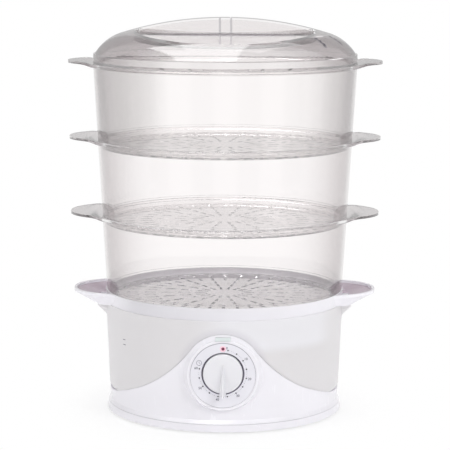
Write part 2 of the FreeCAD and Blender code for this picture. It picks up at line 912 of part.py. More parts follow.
def heater_gasket():
    return flat_ring("heater_gasket", S.cup_r + S.heater_gap, S.plate_r - S.gasket_inset,
                     tank_floor_top, plate_rest, S.heater_screw_r + S.screw_pilot_gap)


def heater_clamp():
    return flat_ring("heater_clamp", S.cup_r + S.heater_gap, S.clamp_r,
                     deck_bottom - S.clamp_thickness, deck_bottom, S.heater_screw_r + S.hole_gap)


def heater_screws():
    """Screws that draw the plate down on its gasket, from under the clamp ring."""
    head_top = deck_bottom - S.clamp_thickness
    return screw_ring("heater_screws", S.heater_screw_circle_r, S.heater_screw_count, [
        (0, head_top - S.heater_screw_head),
        (S.heater_screw_head_r, head_top - S.heater_screw_head),
        (S.heater_screw_head_r, head_top),
        (S.heater_screw_r, head_top),
        (S.heater_screw_r, plate_rest + S.heater_screw_bite),
        (0, plate_rest + S.heater_screw_bite),
    ])


def heating_element():
    """A tubular element bent to an open ring, flat where it meets the plate, with two end pins."""
    body = new_body("heating_element")
    sketch = sketch_in(body, "XZ_Plane")
    middle = cup_bottom - S.element_r
    inner, outer = S.element_ring_r - S.element_r, S.element_ring_r + S.element_r
    outline(sketch, [
        (inner, cup_bottom),
        (inner, middle, S.element_r, "left"),
        (S.element_ring_r, middle - S.element_r, S.element_r, "left"),
        (outer, middle),
        (outer, cup_bottom),
    ])
    turn(body, "Revolution", sketch, S.element_sweep)
    for reverse in (False, True):
        ends = sketch_in(body, "XZ_Plane")
        circle(ends, S.element_ring_r, middle, S.element_pin_r)
        pin = extrude(body, "Pad", ends, S.element_pin_length, reverse=reverse)
    pattern = polar(body, [pin], 2)
    pattern.Mode = "Spacing"
    bind(pattern, "Offset", S.element_sweep)
    doc.recompute()
    return body


def thermostat():
    """A snap-disc thermostat under the middle of the plate, with a terminal each side."""
    bottom = cup_bottom - S.thermostat_height
    can = drum("thermostat_can", S.thermostat_r, S.thermostat_height, bottom)
    tabs = block("thermostat_tabs", (S.thermostat_r + S.thermostat_tab) * 2, S.tab_width,
                 S.tab_thickness, 0, 0, bottom + S.tab_thickness)
    return finish(fuse("thermostat", [can, tabs]), "thermostat")


def thermal_fuse():
    """A one-shot thermal fuse in its sleeve, against the plate beside the thermostat."""
    sleeve = block("fuse_sleeve", S.fuse_length, S.fuse_width, S.fuse_height, 0, S.fuse_offset,
                   cup_bottom - S.fuse_height)
    leads = block("fuse_leads", S.fuse_length + S.fuse_lead_length * 2, S.fuse_lead_r * 2,
                  S.fuse_lead_r * 2, 0, S.fuse_offset,
                  cup_bottom - S.fuse_height / 2 - S.fuse_lead_r)
    return finish(fuse("thermal_fuse", [sleeve, leads]), "thermal_fuse")


# ---------------------------------------------------------------- timer, knob and pilot lamp

def front_sketch(body, forward):
    """A sketch facing the front, that far forwards of the axis."""
    return sketch_in(body, "XZ_Plane", forward)


def d_outline(sketch, radius, flat):
    """A round shaft section about the knob's axis whose top is flat at height flat above it."""
    half = root(radius * radius - flat * flat)
    top = S.dial_height + flat
    outline(sketch, [
        (half, top),
        (-half, top, radius, "left"),
        (-radius, S.dial_height, radius, "left"),
        (0, S.dial_height - radius, radius, "left"),
        (radius, S.dial_height, radius, "left"),
    ])


def timer_body():
    """The clockwork timer's case, on the flat seat behind the dial."""
    case = block("timer_case", S.timer_width, S.timer_depth, S.timer_width, 0,
                 S.timer_depth / 2 - timer_front, S.dial_height - S.timer_width / 2)
    corners = rod("timer_round", S.timer_case_r, timer_front,
                  timer_front - S.timer_depth, z=S.dial_height)
    bore = rod("timer_bore", S.shaft_r + S.shaft_fit, timer_front + S.seam_gap,
               timer_front - S.timer_bore_depth, z=S.dial_height)
    holes = [bore]
    for side in (-1, 1):
        holes.append(rod(f"timer_pilot_{side + 2}", S.timer_screw_r + S.screw_pilot_gap,
                         timer_front + S.seam_gap, well_floor_y - S.timer_screw_length - S.seam_gap,
                         x=S.timer_screw_spacing / 2 * side, z=S.dial_height))
    round_case = common("timer_round_case", [case, corners])
    return finish(cut("timer_body", round_case, fuse("timer_holes", holes)), "timer_body")


def timer_bell():
    """The bell that rings at the end, a cup on a post behind the timer."""
    back = timer_front - S.timer_depth
    mouth = back - S.bell_cup_gap
    cup = rod("bell_cup", S.bell_cup_r, mouth, mouth - S.bell_cup_depth, z=S.dial_height)
    room = rod("bell_room", S.bell_cup_r - S.bell_cup_wall, mouth + S.bell_cup_gap,
               mouth - S.bell_cup_depth + S.bell_cup_wall, z=S.dial_height)
    post = rod("bell_post", S.bell_post_r, back, mouth - S.bell_cup_depth, z=S.dial_height)
    return finish(fuse("timer_bell", [cut("bell_shell", cup, room), post]), "timer_bell")


def timer_screws():
    """The two screws through the floor of the knob's well into the timer."""
    screws = []
    for side in (-1, 1):
        x = S.timer_screw_spacing / 2 * side
        head = rod(f"timer_screw_head_{side + 2}", S.timer_screw_head_r,
                   well_floor_y + S.timer_screw_head, well_floor_y, x=x, z=S.dial_height)
        shank = rod(f"timer_screw_shank_{side + 2}", S.timer_screw_r, well_floor_y,
                    well_floor_y - S.timer_screw_length, x=x, z=S.dial_height)
        screws.append(fuse(f"timer_screw_{side + 2}", [head, shank]))
    return finish(group("timer_screws", screws), "timer_screws")


def timer_shaft():
    """The timer's shaft: round in its bearing, flat-topped where the knob pushes on."""
    body = new_body("timer_shaft")
    foot = timer_front - S.timer_bore_depth + S.seam_gap
    sketch = front_sketch(body, foot)
    circle(sketch, 0, S.dial_height, S.shaft_r)
    extrude(body, "Pad", sketch, knob_back - foot)
    tip = front_sketch(body, knob_back)
    d_outline(tip, S.shaft_r, S.shaft_r - S.shaft_flat)
    extrude(body, "Pad", tip, knob_front - S.shaft_end_gap - knob_back)
    return body


def grip_section(name, half_width, rise, height):
    """One level section of the knob's grip: wide at the cap, with a narrow round nose in front."""
    back = -(knob_front - S.knob_edge_r)
    front = -(knob_front + rise)
    nose = S.grip_nose * half_width / (S.grip_width / 2)
    section = free_sketch(name, [
        (-half_width, back), (half_width, back), (nose, front, nose * 1.4, "right"), (-nose, front)],
        False)
    place(section, 0, 0, height)
    return section


def timer_knob():
    """The knob: a round cap with a grip that grows from a point to a deep end past the rim."""
    thickness = knob_front - knob_back
    edge = S.knob_edge_r
    cap = turned("knob_cap", [
        (0, 0),
        (S.knob_r, 0),
        (S.knob_r, thickness - edge, edge, "left"),
        (S.knob_r - edge, thickness),
        (0, thickness),
    ])
    cap.Placement.Rotation = FreeCAD.Rotation(FreeCAD.Vector(1, 0, 0), 90)
    place(cap, 0, -knob_back, S.dial_height)
    grip = doc.addObject("Part::Loft", "knob_grip")
    grip.Sections = [
        grip_section("grip_end", S.grip_width / 2, S.grip_rise,
                     S.dial_height - S.knob_r - S.grip_end_reach),
        grip_section("grip_start", S.grip_top_width / 2, S.grip_top_rise,
                     S.dial_height + S.knob_r - S.grip_top_inset),
    ]
    grip.Solid = True
    grip.Ruled = True
    form = fuse("knob_form", [cap, grip])
    doc.recompute()
    body = new_body("timer_knob", form)
    bore = front_sketch(body, knob_back)
    d_outline(bore, S.shaft_r + S.shaft_fit, S.shaft_r - S.shaft_flat + S.shaft_fit)
    extrude(body, "Pocket", bore, knob_front - S.shaft_end_gap + S.shaft_fit - knob_back, reverse=True)
    return body


def dial_plate():
    """The thin ring round the knob that carries the minute scale."""
    body = new_body("dial_plate")
    sketch = front_sketch(body, boss_front - S.dial_thickness)
    circle(sketch, 0, dial_centre, S.dial_r)
    circle(sketch, 0, S.dial_height, S.knob_r + S.knob_well_gap)
    extrude(body, "Pad", sketch, S.dial_thickness)
    return body


def pilot_lens():
    """The pilot lamp's window, in a notch in the top edge of the pod."""
    lens = block("lens", S.lens_width, S.lens_depth, S.lens_height, 0,
                 S.lens_depth / 2 - boss_front, lens_bottom)
    return finish(lens, "pilot_lens")


def pilot_lamp():
    """The neon lamp, level behind its window."""
    back = timer_front - S.lamp_holder_depth * 2
    return finish(rod("lamp", S.lamp_r, back + S.lamp_length, back, z=lamp_height), "pilot_lamp")


def lamp_holder():
    """The block on top of the timer that holds the lamp in a half-round groove."""
    foot = S.dial_height + S.timer_width / 2
    body = block("holder_block", S.lamp_holder_width, S.lamp_holder_depth, S.lamp_lift, 0,
                 S.lamp_holder_depth / 2 - (timer_front - S.lamp_holder_depth), foot)
    groove = rod("holder_groove", S.lamp_r + S.shaft_fit, timer_front,
                 timer_front - S.timer_depth, z=lamp_height)
    return finish(cut("lamp_holder", body, groove), "lamp_holder")


# ---------------------------------------------------------------- mains side

def cord_gland():
    """The bush that lines the mains inlet at the back, with a flange outside and one inside."""
    inner_r = S.band_r - S.housing_wall
    outside = S.cover_r + S.seam_gap
    inside = inner_r - S.gland_flange - S.gland_flange
    sleeve = rod("gland_sleeve", S.gland_r, -inside, -outside, z=S.gland_height)
    outer = rod("gland_outer", S.gland_flange_r, -outside, -(outside + S.gland_flange),
                z=S.gland_height)
    inner = rod("gland_inner", S.gland_inner_r, -inside, -(inside + S.gland_flange),
                z=S.gland_height)
    bore = rod("gland_bore", S.gland_bore_r, -(inside - S.gland_flange),
               -(outside + S.gland_flange * 2), z=S.gland_height)
    return finish(cut("cord_gland", fuse("gland_bush", [sleeve, outer, inner]), bore), "cord_gland")


def terminal_block():
    """The three-pole block under the deck where the mains leads are joined."""
    bottom = deck_bottom - S.block_height
    base = block("block_base", S.block_width, S.block_depth, S.block_height, 0, S.block_place, bottom)
    step = S.block_width / S.block_poles
    holes = []
    for pole in range(int(SIZES["block_poles"])):
        x = step * (pole + 0.5) - S.block_width / 2
        holes.append(drum(f"block_hole_{pole + 1}", S.block_hole_r,
                          S.block_hole_depth, bottom - S.seam_gap, x, S.block_place))
    return finish(cut("terminal_block", base, fuse("block_holes", holes)), "terminal_block")


# ---------------------------------------------------------------- lift-off parts

def ear_corners(tip, tip_r, centre, side_r, root_r, flare_r):
    """The plan of an ear: a wide tip, round sides about a centre, and flares out of a rim of root_r."""
    tip_centre = tip - tip_r
    corner_x = ((tip_r * tip_r - side_r * side_r + centre * centre - tip_centre * tip_centre)
                / (2 * (centre - tip_centre)))
    corner_y = root(tip_r * tip_r - (corner_x - tip_centre) * (corner_x - tip_centre))
    from_axis = root_r + flare_r
    from_side = side_r + flare_r
    flare_x = (from_axis * from_axis - from_side * from_side + centre * centre) / (2 * centre)
    flare_y = root(from_axis * from_axis - flare_x * flare_x)
    root_x = flare_x * root_r / from_axis
    root_y = flare_y * root_r / from_axis
    side_x = centre + (flare_x - centre) * side_r / from_side
    side_y = flare_y * side_r / from_side
    return [
        (root_x, -root_y, flare_r, "right"),
        (side_x, -side_y, side_r, "left"),
        (corner_x, -corner_y, tip_r, "left"),
        (corner_x, corner_y, side_r, "left"),
        (side_x, side_y, flare_r, "right"),
        (root_x, root_y),
    ]


def steam_ring():
    """The ring round the heater that makes the first steam quickly, notched where water enters."""
    inner_r = S.plate_r + S.ring_play
    outer_r = inner_r + S.ring_wall
    top = tank_floor_top + S.ring_height
    body = turned_body("steam_ring", [
        (inner_r, tank_floor_top), (outer_r, tank_floor_top), (outer_r, top), (inner_r, top)])
    sketch = sketch_in(body, "YZ_Plane")
    half = S.ring_notch_width / 2
    outline(sketch, [
        (-half, tank_floor_top - S.seam_gap), (half, tank_floor_top - S.seam_gap),
        (half, tank_floor_top + S.ring_notch_height), (-half, tank_floor_top + S.ring_notch_height)])
    notch = extrude(body, "Pocket", sketch, outer_r + S.ring_play, reverse=True)
    polar(body, [notch], S.ring_notch_count)
    return body


def turn_about_z(piece, radius, angle, height):
    """Puts a box with its length along the radius, its middle at radius and angle."""
    back = radius - piece.Length.Value / 2
    half = piece.Width.Value / 2
    bind(piece, "Placement.Rotation.Axis.x", 0)
    bind(piece, "Placement.Rotation.Axis.z", 1)
    bind(piece, "Placement.Rotation.Angle", angle)
    place(piece, back * cosine(angle) + half * sine(angle),
          back * sine(angle) - half * cosine(angle), height)


def tray_ear(name, half_turn, shrink, low, high):
    """One filler ear of the tray as a solid whose wall is moved in by shrink: a funnel and its rim."""
    centre = tray_ear_tip - S.tray_ear_depth
    foot_tip = tray_ear_tip - S.tray_ear_foot_inset
    lip = ear_corners(tray_ear_tip - shrink, S.tray_ear_tip_r - shrink, centre,
                      S.tray_ear_side_r - shrink, tray_bottom_r - shrink, S.tray_ear_flare_r + shrink)
    foot = ear_corners(foot_tip - shrink, S.tray_ear_foot_tip_r - shrink, centre,
                       S.tray_ear_foot_side_r - shrink, tray_bottom_r - shrink,
                       S.tray_ear_foot_flare_r + shrink)
    rings = []
    for end, corners, height in (("foot", foot, low), ("lip", lip, high)):
        ring = free_sketch(f"{name}_{end}", corners, False)
        ring.Placement.Rotation = half_turn
        place(ring, 0, 0, height)
        rings.append(ring)
    funnel = doc.addObject("Part::Loft", f"{name}_funnel")
    funnel.Sections = rings
    funnel.Solid = True
    funnel.Ruled = True
    rim = prism(f"{name}_rim", lip, tray_top - high, False)
    rim.Placement.Rotation = half_turn
    place(rim, 0, 0, high)
    return [funnel, rim]


def drip_tray():
    """The white tray: nests in the tank, carries the bowls, and has a filler ear each side."""
    bottom = tray_seat - S.tray_drop
    floor_top = bottom + S.tray_floor
    mouth_r = tray_top_r - S.tray_wall
    nest_inner_r = tray_nest_r - S.tray_wall
    ledge = tray_seat + S.tray_wall
    ridge_bottom = bottom + S.ridge_rise
    ridge_top = ridge_bottom + S.tray_floor
    filled = turned("tray_filled", [
        (0, bottom),
        (tray_nest_r, bottom),
        (tray_nest_r, tray_seat),
        (tray_bottom_r, tray_seat),
        (tray_top_r, tray_top),
        (0, tray_top),
    ])
    basin = turned("tray_basin", [
        (0, floor_top),
        (S.ridge_inner_r - S.tray_floor, floor_top),
        (S.ridge_inner_r + S.ridge_lean - S.tray_floor, ridge_top),
        (S.ridge_outer_r - S.ridge_lean + S.tray_floor, ridge_top),
        (S.ridge_outer_r + S.tray_floor, floor_top),
        (nest_inner_r, floor_top),
        (nest_inner_r, ledge),
        (mouth_r, ledge),
        (mouth_r, tray_top + S.tray_gap),
        (0, tray_top + S.tray_gap),
    ])
    under_ridge = turned("under_ridge", [
        (S.ridge_inner_r, bottom - S.tray_gap),
        (S.ridge_outer_r, bottom - S.tray_gap),
        (S.ridge_outer_r - S.ridge_lean, ridge_bottom),
        (S.ridge_inner_r + S.ridge_lean, ridge_bottom),
    ])
    ears, troughs, inlets = [], [], []
    ear_low = tray_seat + S.tray_gap
    ear_high = tray_top - S.tray_ear_lip
    for side, name in ((-1, "left"), (1, "right")):
        half_turn = FreeCAD.Rotation(FreeCAD.Vector(0, 0, 1), 90 - 90 * side)
        ears += tray_ear(f"{name}_ear", half_turn, size(0), ear_low, ear_high)
        troughs += tray_ear(f"{name}_trough", half_turn, S.tray_ear_wall, ear_low + S.tray_ear_wall,
                            ear_high + S.tray_gap)
        inner = tray_top_r + S.tray_gap
        outer = spout_reach - S.tank_wall
        inlets.append(block(f"{name}_inlet", outer - inner, S.inlet_half_width * 2,
                            S.tray_ear_wall * 2, (inner + outer) / 2 * side, 0,
                            ear_low - S.tray_gap))
    hollow_ears = cut("tray_ears", fuse("tray_ear_blanks", ears), fuse("tray_troughs", troughs))
    whole = fuse("tray_whole", [hollow_ears, filled])
    middle_r = (S.ridge_inner_r + S.ridge_outer_r) / 2
    slots = []
    for index, angle in enumerate(around(S.ridge_slot_count), start=1):
        vent = block(f"steam_slot_{index}", S.ridge_slot_length, S.ridge_slot_width,
                     S.tray_floor * 2, 0, 0, 0)
        turn_about_z(vent, middle_r, angle, ridge_bottom - S.tray_floor / 2)
        slots.append(vent)
    tools = fuse("tray_tools", [basin, under_ridge] + inlets + slots)
    return finish(cut("drip_tray", whole, tools), "drip_tray")


def flange_top(number):
    """The height of a bowl's flange; number 0 is the tray's rim."""
    return tray_top + S.tier_pitch * number


def mouth_radius(number):
    """The outer radius of a bowl's wall at its flange."""
    return bowl_mouth_r + S.bowl_growth * (number - 1)


def seat_inner_radius(number):
    """The inner radius of the rim that bowl number nests in."""
    if number == 1:
        return tray_top_r - S.tray_wall
    return mouth_radius(number - 1) - S.bowl_wall


def steam_holes(body, rows, length, upright, count, floor_top):
    """Slots through a bowl's floor: one in each row of radii, copied round."""
    sketch = sketch_in(body, "XY_Plane", floor_top + S.seam_gap)
    for radius in rows:
        slot(sketch, radius, size(0), length, S.floor_slot_width, upright)
    cutter = extrude(body, "Pocket", sketch, S.bowl_floor + S.seam_gap * 2)
    polar(body, [cutter], count)


def bowl_ears(number):
    """Both ears of a bowl: a plate that rises in an S from the flange, cut to the ears' plan."""
    rim = flange_top(number)
    rim_bottom = rim - S.bowl_flange
    flange_r = mouth_radius(number) + S.bowl_flange_reach
    inner_r = mouth_radius(number) - S.bowl_wall / 2
    tip = bowl_mouth_r + S.bowl_ear_reach + S.bowl_ear_growth * number
    end_r = flange_r + S.bowl_ear_run
    middle_r = flange_r + S.bowl_ear_run / 2
    far_r = tip + S.bowl_ear_run
    rise = S.bowl_ear_rise
    low_rise = rise + S.bowl_flange - S.bowl_ear_plate
    bend_r = (S.bowl_ear_run * S.bowl_ear_run + rise * rise) / (4 * rise)
    low_bend_r = (S.bowl_ear_run * S.bowl_ear_run + low_rise * low_rise) / (4 * low_rise)
    plate = turned(f"bowl_{number}_ear_plate", [
        (inner_r, rim_bottom),
        (flange_r, rim_bottom, low_bend_r, "left"),
        (middle_r, rim_bottom + low_rise / 2, low_bend_r, "right"),
        (end_r, rim_bottom + low_rise),
        (far_r, rim_bottom + low_rise),
        (far_r, rim + rise),
        (end_r, rim + rise, bend_r, "left"),
        (middle_r, rim + rise / 2, bend_r, "right"),
        (flange_r, rim),
        (inner_r, rim),
    ])
    plan = ear_corners(tip, S.bowl_ear_tip_r, tip - S.bowl_ear_depth, S.bowl_ear_side_r, flange_r,
                       S.bowl_ear_flare_r)
    ears = []
    for side, name in ((-1, "left"), (1, "right")):
        ear = prism(f"bowl_{number}_{name}_ear", plan, S.bowl_flange * 2 + rise * 2, False)
        ear.Placement.Rotation = FreeCAD.Rotation(FreeCAD.Vector(0, 0, 1), 90 - 90 * side)
        place(ear, 0, 0, rim_bottom - S.bowl_flange)
        ears.append(ear)
    return common(f"bowl_{number}_ears", [plate, fuse(f"bowl_{number}_ear_plans", ears)])


def bowl(number):
    """A clear bowl: a nesting foot with a steam floor, a flaring wall and a flange with two ears."""
    seat = flange_top(number - 1)
    rim = flange_top(number)
    rim_bottom = rim - S.bowl_flange
    mouth_r = mouth_radius(number)
    seat_r = mouth_r - S.bowl_taper
    foot_r = seat_inner_radius(number) - S.bowl_foot_gap
    foot_bottom = seat - S.bowl_foot
    flange_r = mouth_r + S.bowl_flange_reach
    corner = S.bowl_corner_r
    edge = S.flange_edge_r
    blank = turned(f"bowl_{number}_blank", [
        (0, foot_bottom),
        (foot_r - corner, foot_bottom, corner, "left"),
        (foot_r, foot_bottom + corner),
        (foot_r, seat),
        (seat_r, seat),
        (mouth_r, rim_bottom),
        (flange_r - edge, rim_bottom, edge, "left"),
        (flange_r, rim_bottom + edge),
        (flange_r, rim - edge, edge, "left"),
        (flange_r - edge, rim),
        (0, rim),
    ])
    form = fuse(f"bowl_{number}_form", [blank, bowl_ears(number)])
    doc.recompute()
    body = new_body(f"bowl_{number}", form)
    floor_top = foot_bottom + S.bowl_floor
    ledge = seat + S.bowl_wall
    room = sketch_in(body, "XZ_Plane")
    outline(room, [
        (0, floor_top),
        (foot_r - S.bowl_wall, floor_top),
        (foot_r - S.bowl_wall, ledge),
        (seat_r - S.bowl_wall, ledge),
        (mouth_r - S.bowl_wall, rim + S.seam_gap),
        (0, rim + S.seam_gap),
    ])
    turn(body, "Groove", room)
    edge_row = foot_r - S.edge_slot_inset
    steam_holes(body, [edge_row], S.edge_slot_length, True, S.edge_slot_count, floor_top)
    outer = edge_row - S.outer_slot_gap
    rows = [outer, outer - S.floor_slot_pitch]
    steam_holes(body, rows, S.floor_slot_length, False, S.outer_slot_count, floor_top)
    rows = [outer - S.floor_slot_pitch * step for step in (2, 3, 4)]
    steam_holes(body, rows, S.floor_slot_length, False, S.inner_slot_count, floor_top)
    return body


def lid_radius():
    """The radius of the lid's skirt at its foot."""
    return mouth_radius(BOWLS) + S.lid_reach


def finger_well(name, side, grow):
    """The room of one finger well in the lid, grown all round: a half-moon with a sloping floor."""
    seat = flange_top(BOWLS)
    near = (S.well_wall_place - grow) * side
    far_distance = S.well_centre + S.well_r + S.lid_wall * 2
    base = seat + S.lid_height - S.well_depth - grow
    fall = sine(S.well_slope) / cosine(S.well_slope) * (far_distance - S.well_wall_place)
    top = seat + S.lid_height + S.lid_wall
    corners = [(near, base), (far_distance * side, base - fall), (far_distance * side, top), (near, top)]
    sketch = doc.addObject("Sketcher::SketchObject", f"{name}_outline")
    sketch.Placement = FreeCAD.Placement(FreeCAD.Vector(), SIDE_PLANE)
    outline(sketch, corners)
    wedge = doc.addObject("Part::Extrusion", f"{name}_wedge")
    wedge.Base = sketch
    wedge.DirMode = "Normal"
    wedge.Solid = True
    wedge.Symmetric = True
    bind(wedge, "LengthFwd", lid_radius() * 2)
    moon = drum(f"{name}_moon", S.well_r + grow, S.lid_height, seat, 0, S.well_centre * side)
    return common(name, [wedge, moon])


def lid():
    """The clear domed lid: a locating lip, a skirt, a finger well front and back, steam vents."""
    seat = flange_top(BOWLS)
    top = seat + S.lid_height
    lid_r = lid_radius()
    break_r = lid_r - S.lid_break_inset
    rise = S.lid_height - S.lid_break_height
    dome_r = (break_r * break_r + rise * rise) / (2 * rise)
    lip_r = mouth_radius(BOWLS) - S.bowl_wall - S.lid_lip_gap
    lip_inner_r = lip_r - S.lid_wall
    skirt_top_r = lid_r - S.lid_skirt_draft
    shoulder_foot_r = skirt_top_r - S.lid_step
    wall = S.lid_wall
    scale = (dome_r - wall) / dome_r
    dome_centre = top - dome_r
    break_top = seat + S.lid_break_height
    outside = turned("lid_outside", [
        (0, seat - S.lid_lip),
        (lip_r, seat - S.lid_lip),
        (lip_r, seat),
        (lid_r, seat),
        (skirt_top_r, seat + S.lid_skirt),
        (shoulder_foot_r, seat + S.lid_skirt, S.lid_shoulder_r, "left"),
        (break_r, break_top, dome_r, "left"),
        (0, top),
    ])
    room = turned("lid_room", [
        (0, seat - S.lid_lip - wall),
        (lip_inner_r, seat - S.lid_lip - wall),
        (lip_inner_r, seat),
        (shoulder_foot_r - wall, seat + wall),
        (shoulder_foot_r - wall, seat + S.lid_skirt - wall / 2, S.lid_shoulder_r - wall, "left"),
        (break_r * scale, dome_centre + (break_top - dome_centre) * scale, dome_r - wall, "left"),
        (0, top - wall),
    ])
    wells, well_walls = [], []
    for side, name in ((-1, "front"), (1, "back")):
        wells.append(finger_well(f"{name}_well", side, size(0)))
        well_walls.append(finger_well(f"{name}_well_wall", side, wall))
    shell = cut("lid_shell", cut("lid_form", outside, fuse("lid_wells", wells)),
                cut("lid_hollow", room, fuse("lid_well_walls", well_walls)))
    webs = []
    for side in (-1, 1):
        web = block(f"web_{side + 2}", S.web_thickness, S.well_wall_place * 2 - wall,
                    S.well_depth + wall, S.web_spacing / 2 * side, 0, top - S.well_depth - wall)
        webs.append(common(f"lid_web_{side + 2}", [web, outside]))
    whole = fuse("lid_whole", [shell] + webs)
    holes = []
    for row in range(int(SIZES["vent_row_count"])):
        angle = S.vent_row_first + S.vent_row_step * row
        for step in range(int(SIZES["vent_hole_count"])):
            radius = S.vent_row_r + S.vent_hole_pitch * step
            holes.append(drum(f"vent_hole_{row + 1}_{step + 1}", S.vent_hole_r,
                              S.lid_height, seat + wall * 2,
                              radius * cosine(angle), radius * sine(angle)))
    return finish(cut("lid", whole, fuse("lid_vents", holes)), "lid")


# ---------------------------------------------------------------- the whole steamer

def build():
    """Makes every sub-part."""
    write_sheet()
    for make in (bottom_cover, rubber_feet, cover_screws, base_housing, water_tank, heating_plate,
                 heater_gasket, heater_clamp, heater_screws, heating_element, thermostat,
                 thermal_fuse, timer_body, timer_bell, timer_screws, timer_shaft, timer_knob,
                 dial_plate, pilot_lens, pilot_lamp, lamp_holder, cord_gland, terminal_block,
                 steam_ring, drip_tray):
        make()
    for number in range(1, BOWLS + 1):
        bowl(number)
    lid()
    doc.recompute()


def check():
    """Stops if any object failed, or a sub-part's shape is missing or not valid."""
    faults = [f"{item.Name} {item.State}" for item in doc.Objects
              if "Invalid" in item.State or "Error" in item.State]
    for label in LABELS:
        shape = doc.getObjectsByLabel(label)[0].Shape
        if shape.isNull() or not shape.isValid() or not shape.Solids:
            faults.append(f"{label} has no valid solid")
    if faults:
        raise RuntimeError("; ".join(faults))


def write_parts():
    """Writes each sub-part's solids to a file of its name."""
    os.makedirs("parts", exist_ok=True)
    for label in LABELS:
        shape = doc.getObjectsByLabel(label)[0].Shape
        shape.exportStep(f"parts/{label}.step")
        box = shape.BoundBox
        print(f"{label:16} solids {len(shape.Solids):2} volume {shape.Volume:10.1f} "
              f"z {box.ZMin:6.1f} to {box.ZMax:6.1f}")


build()
check()
write_parts()
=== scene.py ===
"""Looks of an electric food steamer: a white base with a frosted tank, clear bowls and a clear lid.

Metres. +Z is up, -Y is the front with the timer knob, +X is the right side seen from the front.
"""
import logging
import math
from dataclasses import dataclass, field
from enum import Enum
from functools import reduce

import bmesh
import bpy
from mathutils import Matrix, Vector


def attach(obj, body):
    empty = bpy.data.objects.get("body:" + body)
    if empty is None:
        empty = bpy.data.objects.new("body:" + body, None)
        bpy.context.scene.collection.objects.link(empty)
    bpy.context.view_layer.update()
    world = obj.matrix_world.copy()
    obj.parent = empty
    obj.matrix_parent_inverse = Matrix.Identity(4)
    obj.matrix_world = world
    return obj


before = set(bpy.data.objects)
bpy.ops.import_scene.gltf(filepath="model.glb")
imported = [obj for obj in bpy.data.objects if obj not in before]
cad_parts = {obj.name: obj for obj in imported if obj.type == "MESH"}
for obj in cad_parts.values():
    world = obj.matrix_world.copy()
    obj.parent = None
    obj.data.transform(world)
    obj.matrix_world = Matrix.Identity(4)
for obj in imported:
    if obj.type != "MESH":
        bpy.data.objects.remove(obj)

log = logging.getLogger("steamer")

Colour = tuple[float, float, float]
Point = tuple[float, float, float]
# A span is where a change starts and ends, and slopes are the spans of a rise and of the fall after it.
Span = tuple[float, float]
Slopes = tuple[float, float, float, float]
Object = bpy.types.Object
Node = bpy.types.Node
Tree = bpy.types.NodeTree
Socket = bpy.types.NodeSocket
Value = Socket | float | tuple[float, ...]
MM = 0.001
WAVE_SHARE = 0.8
SCRATCH_ANGLES = (0.5, 1.9)
SCRATCH_TILT = 0.7
SCRATCH_STRETCH = 26.0
SCRATCH_EDGE = (0.66, 0.74)
LETTER_SIZE = 1.42
LETTER_SWELL = 0.02


# ---------------------------------------------------------------- shader helpers

def add_node(tree: Tree, kind: str, **settings: str | bool) -> Node:
    """Adds one shader node and sets its plain settings.

    Args:
        tree: The tree that gets the node.
        kind: The node's type name without its "ShaderNode" prefix.
        settings: Attributes of the node, by name.

    Returns:
        The new node.
    """
    node = tree.nodes.new(f"ShaderNode{kind}")
    for name, value in settings.items():
        setattr(node, name, value)
    return node


def feed(tree: Tree, source: Value, target: Socket) -> None:
    """Joins a socket, or puts a plain value on it.

    Args:
        tree: The tree that holds both sockets.
        source: An output socket or a plain value.
        target: The input socket.
    """
    if isinstance(source, Socket):
        tree.links.new(source, target)
    else:
        target.default_value = source


def maths(tree: Tree, operation: str, *values: Value) -> Socket:
    """Adds a Math node.

    Args:
        tree: The tree that gets the node.
        operation: The Math node's operation.
        values: Sockets or numbers for its inputs, in order.

    Returns:
        The node's output socket.
    """
    node = add_node(tree, "Math", operation=operation)
    for value, target in zip(values, node.inputs):
        feed(tree, value, target)
    return node.outputs[0]


def product(tree: Tree, *values: Value) -> Socket:
    """Several sockets or numbers multiplied together."""
    return reduce(lambda total, value: maths(tree, "MULTIPLY", total, value), values)


def remap(tree: Tree, value: Socket, low: float, high: float, to_low: float, to_high: float,
          smooth: bool = False) -> Socket:
    """Maps a value from one range to another, clamped.

    Args:
        tree: The tree that gets the node.
        value: The socket to map.
        low: Start of the range that comes in.
        high: End of the range that comes in.
        to_low: What the start becomes.
        to_high: What the end becomes.
        smooth: Whether the way between is an S curve.

    Returns:
        The mapped value's socket.
    """
    node = add_node(tree, "MapRange", clamp=True)
    node.interpolation_type = "SMOOTHSTEP" if smooth else "LINEAR"
    for name, number in (("From Min", low), ("From Max", high), ("To Min", to_low), ("To Max", to_high)):
        feed(tree, number, node.inputs[name])
    feed(tree, value, node.inputs["Value"])
    return node.outputs["Result"]


def rise(tree: Tree, value: Socket, start: float, end: float) -> Socket:
    """A socket that goes from 0 to 1 in an S curve as a value goes from start to end."""
    return remap(tree, value, start, end, 0.0, 1.0, smooth=True)


def fall(tree: Tree, value: Socket, start: float, end: float, smooth: bool = True) -> Socket:
    """A socket that goes from 1 to 0 as a value goes from start to end, in an S curve or straight."""
    return remap(tree, value, start, end, 1.0, 0.0, smooth=smooth)


def within(tree: Tree, value: Socket, low: float, high: float) -> Socket:
    """A socket that is 1 where a value is between two bounds, and else 0."""
    return product(tree, maths(tree, "GREATER_THAN", value, low), maths(tree, "LESS_THAN", value, high))


def plateau(tree: Tree, value: Socket, slopes: Slopes, smooth_fall: bool = True) -> Socket:
    """A socket that rises from 0 to 1 along a value, stays there and falls back to 0.

    Args:
        tree: The tree that gets the nodes.
        value: The socket to follow.
        slopes: Where the rise starts and ends, and where the fall starts and ends.
        smooth_fall: Whether the fall is an S curve.

    Returns:
        The socket.
    """
    return product(tree, rise(tree, value, *slopes[:2]), fall(tree, value, *slopes[2:], smooth_fall))


